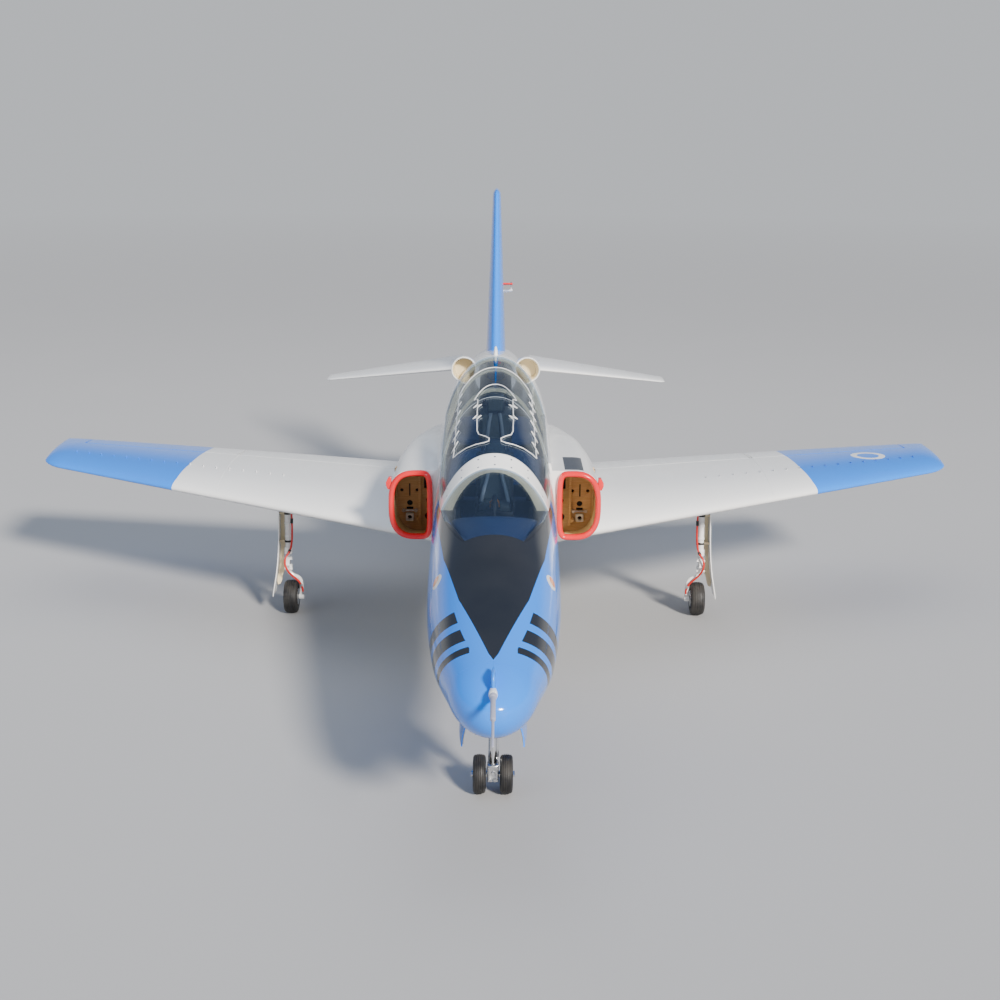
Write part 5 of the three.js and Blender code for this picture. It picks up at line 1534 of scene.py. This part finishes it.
def nose_gear():
    s = NOSE_STATION

    def at(x, ds, z):
        return (x, s + ds, z)

    shoulder, top = NOSE_PIVOT_Z - 12, NOSE_PIVOT_Z + 7
    profile = [(POINT, 178), (5.55, 178), (5.55, 104), (9.2, 104), (10, 104.8), (10, 108),
               (9.3, 108.5), (9.3, 109.5), (10, 110), (10, 112), (8.2, 114.5), (8, 116),
               (8, 150), (8.6, 151), (8.6, 156), (8, 157), (8, shoulder), (5, shoulder),
               (5, top), (POINT, top)]
    strut = spun("nose_strut_tube", profile, at(0, 0, 0), (0, 0, 1), 40)
    arm = soften(block((-13.5, 13.5), (s - 3, s + 3), (shoulder - 9, shoulder - 4)), 0.8)
    finish_piece(fuse(strut, arm), alloy, "nose_strut", body="nose_strut", slot="chrome_steel")
    finish_piece(rod(at(6.4, 5, 52), at(6.4, 5, 172), 1.7, name="nose_guide_rod"), chrome,
                 body="nose_piston")
    finish_piece(soften(block((-5, 9), (s - 1, s + 9), (146, 152), name="clamp"), 0.8), alloy,
                 body="nose_strut", slot="chrome_steel")

    stem = spun("stem", [(POINT, 40), (5, 40.4), (5, 165.6), (POINT, 166)], at(0, 0, 0),
                (0, 0, 1), 36)
    finish_piece(stem, chrome, "nose_piston", body="nose_piston")
    block_body = soften(block((-8, 8), (s - 9, s + 9), (19, 44), name="axle_block"), 1.2)
    block_body = cut(block_body, rod(at(-20, 0, NOSE_AXLE_Z), at(20, 0, NOSE_AXLE_Z), 3.5),
                     block((-4.4, 4.4), (s - 12, s - 7.2), (24, 39)),
                     block((-0.6, 0.6), (s - 12, s + 12), (10, 23)))
    finish_piece(soften(block_body, 0.3), alloy, body="nose_piston")
    bolts = [rod(at(x, -6.4, z), at(x, -9.9, z), 1.5, segments=6)
             for x, z in ((-5.8, 41.2), (5.8, 41.2), (-5.8, 22), (5.8, 22))]
    bolts.append(rod(at(0, -6.5, 31.5), at(0, -8.8, 31.5), 3, segments=24))
    finish_piece(joined("axle_block_bolts", bolts), chrome, body="nose_piston")
    links = []
    for x in (-5, 5):
        links += [rod(at(x, 8, 106), at(x, 22, 78), 1.9, 1.5, 12),
                  rod(at(x, 22, 78), at(x, 9, 46), 1.5, 1.9, 12)]
    links += [rod(at(-7, 8.5, 106), at(7, 8.5, 106), 2.2),
              rod(at(-7, 22, 78), at(7, 22, 78), 2.0),
              rod(at(-7, 9, 44), at(7, 9, 44), 2.2)]
    o = joined("nose_scissors", links)
    o.data.materials.append(alloy)
    bend_between(o, at(0, 0, 106), at(0, 0, 48))

    axle = [rod(at(-19, 0, NOSE_AXLE_Z), at(19, 0, NOSE_AXLE_Z), 3)]
    for side in (1, -1):
        axle.append(rod(at(side * 27.5, 0, NOSE_AXLE_Z), at(side * 31, 0, NOSE_AXLE_Z), 4.4,
                        segments=6))
        axle.append(rod(at(side * 8.3, 0, NOSE_AXLE_Z), at(side * 12, 0, NOSE_AXLE_Z), 5))
    finish_piece(joined("nose_axle_parts", axle), chrome, "nose_axle", body="nose_wheels")
    for name, side in SIDES:
        centre = at(side * 19, 0, NOSE_AXLE_Z)
        hub(f"nose_hub_{name}", centre, 16, 6.6, "nose_wheels", 3.05)
        tyre(f"nose_tread_{name}", centre, 28, 16, 9, (-4.6, -1.6, 1.6, 4.6), "nose_wheels",
             f"nose_tyre_{name}")


def turned(o, origin, direction, degrees):
    """Turns an object about a line of the design frame and applies it to the mesh."""
    p = Vector(frame_points([origin])[0])
    turn = Matrix.Rotation(math.radians(degrees), 4, Vector(direction).normalized())
    o.data.transform(Matrix.Translation(p) @ turn @ Matrix.Translation(-p))
    return o


def nose_door(name, side):
    """Bay door cut from the hull's skin and hung open on its long edge, lined inside."""
    s0, s1 = (s for s, _ in NOSE_DOORS)
    door = f"nose_door_{name}"
    hinge, end = (np.array([side * x, s, on_body(s, x, upper=False)[2] - 3.4])
                  for s, x in NOSE_DOORS)
    for label, outer, inner, margin, material in (
            ("nose_leaf_", 0, 1.6, 0.6, blue_paint),
            ("nose_leaf_lining_", 1.6, 2.8, 2.2, cream_paint)):
        skin = body_shell(label + name, s0, s1, outer, inner, 5, (s0 - 10, s1 + 10))
        skin = clip(skin, bay_column(side, 0.6 if margin < 1 else 3, margin, 100))
        turned(skin, hinge, end - hinge, -90 * side)
        finish_piece(skin, material, *([door] if outer == 0 else []), body=door,
                     slot="white_gloss")
    along = unit(end - hinge)
    knuckles = [rod(p - along * 5, p + along * 5, 1.7)
                for p in (mix(hinge, end, t) for t in (0.18, 0.82))]
    finish_piece(joined(f"door_hinges_{name}", knuckles), alloy, body=door)


nose_gear()
for side_name, side in SIDES:
    nose_door(side_name, side)


# ------------------------------------------------------------------ carried-over CAD nodes

def coat(material, *names):
    """Gives a CAD node that is shown as it is its own procedural finish."""
    for name in names:
        set_material(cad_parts[name], material)


coat(ply, "equipment_tray")
coat(battery_film, "battery_pack")
coat(tank_plastic, "fuel_tank")
coat(alloy, "turbine_engine", "wing_tube")
coat(steel, "thrust_tube")
coat(dark_alloy, "nose_retract_unit", "main_retract_left", "main_retract_right",
     "nose_trunnion")
coat(black_plastic, "rudder_servo")
coat(red_paint, "rudder_servo_arm")
coat(chrome, "rudder_pushrod", "stab_shaft")


# ------------------------------------------------------------------ stage

HORIZON, SKY_STRENGTH = (0.60, 0.62, 0.65, 1), 1.0
FLOOR, HAZE_START, HAZE_END = 40, 3.0, 15.0


def stage_scene():
    """Pale floor, a plain sky tone and soft studio light."""
    floor = bpy.data.meshes.new("floor")
    floor.from_pydata([(x * FLOOR, y * FLOOR, 0) for x, y in ((-1, -1), (1, -1), (1, 1), (-1, 1))],
                      [], [(0, 1, 2, 3)])
    o = placed("floor", floor)
    g = Graph("floor_matte")
    matte = g.node("ShaderNodeBsdfPrincipled")
    matte.inputs["Base Color"].default_value = (0.40, 0.40, 0.40, 1)
    g.link(g.range(g.noise(3, 4), 0.6, 0.8), matte.inputs["Roughness"])
    haze, blend = g.node("ShaderNodeEmission"), g.node("ShaderNodeMixShader")
    haze.inputs[0].default_value, haze.inputs[1].default_value = HORIZON, SKY_STRENGTH
    away = g.node("ShaderNodeVectorMath", operation="LENGTH")
    g.link(g.place, away.inputs[0])
    g.link(g.range(away.outputs["Value"], 0, 1, HAZE_START, HAZE_END), blend.inputs[0])
    g.link(matte.outputs[0], blend.inputs[1])
    g.link(haze.outputs[0], blend.inputs[2])
    g.link(blend.outputs[0], g.out.inputs[0])
    o.data.materials.append(g.material)

    world = bpy.data.worlds.new("studio")
    bpy.context.scene.world = world
    world.use_nodes = True
    tree = world.node_tree
    tree.nodes.clear()
    add = tree.nodes.new
    out, sky = add("ShaderNodeOutputWorld"), add("ShaderNodeBackground")
    ramp, place, split = (add("ShaderNodeValToRGB"), add("ShaderNodeTexCoord"),
                          add("ShaderNodeSeparateXYZ"))
    tree.links.new(place.outputs["Generated"], split.inputs[0])
    tree.links.new(split.outputs[2], ramp.inputs[0])
    first, last = ramp.color_ramp.elements
    first.position, first.color = 0.11, HORIZON
    last.position, last.color = 1.0, (0.16, 0.23, 0.38, 1)
    middle = ramp.color_ramp.elements.new(0.3)
    middle.color = (0.14, 0.19, 0.30, 1)
    tree.links.new(ramp.outputs[0], sky.inputs[0])
    sky.inputs[1].default_value = SKY_STRENGTH
    tree.links.new(sky.outputs[0], out.inputs[0])

    for name, kind, size, place, energy, color in (
            ("key", "SUN", 0.14, (2.3, -4.2, 2.9), 7.5, (1.0, 0.94, 0.86)),
            ("fill", "AREA", 4.0, (-4.0, -3.0, 3.0), 70, (0.80, 0.90, 1.0)),
            ("top", "AREA", 5.0, (0.0, 1.0, 4.2), 110, (0.95, 0.97, 1.0))):
        light = bpy.data.lights.new(name, kind)
        light.energy, light.color = energy, color
        if kind == "SUN":
            light.angle = size
        else:
            light.size = size
        o = placed(name, light)
        o.visible_glossy = kind == "SUN"
        o.location = place
        o.rotation_euler = (Vector((0, 0, 0.3)) - o.location).to_track_quat("-Z", "Y").to_euler()


def aim_camera():
    place, lens = Vector((0.0017, -2.646, 0.9096)), 55.0
    pitch, yaw, roll = (math.radians(a) for a in (13.577, -0.164, 0.385))
    ahead = Vector((-math.sin(yaw) * math.cos(pitch), math.cos(yaw) * math.cos(pitch),
                    -math.sin(pitch)))
    right = ahead.cross(Vector((0, 0, 1))).normalized()
    up = right.cross(ahead)
    level, tilt = math.cos(roll), math.sin(roll)
    right, up = right * level + up * tilt, up * level - right * tilt
    data = bpy.data.cameras.new("camera")
    data.lens, data.sensor_width = lens, 36.0
    data.clip_start, data.clip_end = 0.05, 200
    camera = placed("camera", data)
    camera.matrix_world = Matrix.Translation(place) @ Matrix((
        (right.x, up.x, -ahead.x), (right.y, up.y, -ahead.y),
        (right.z, up.z, -ahead.z))).to_4x4()
    bpy.context.scene.camera = camera


stage_scene()
aim_camera()
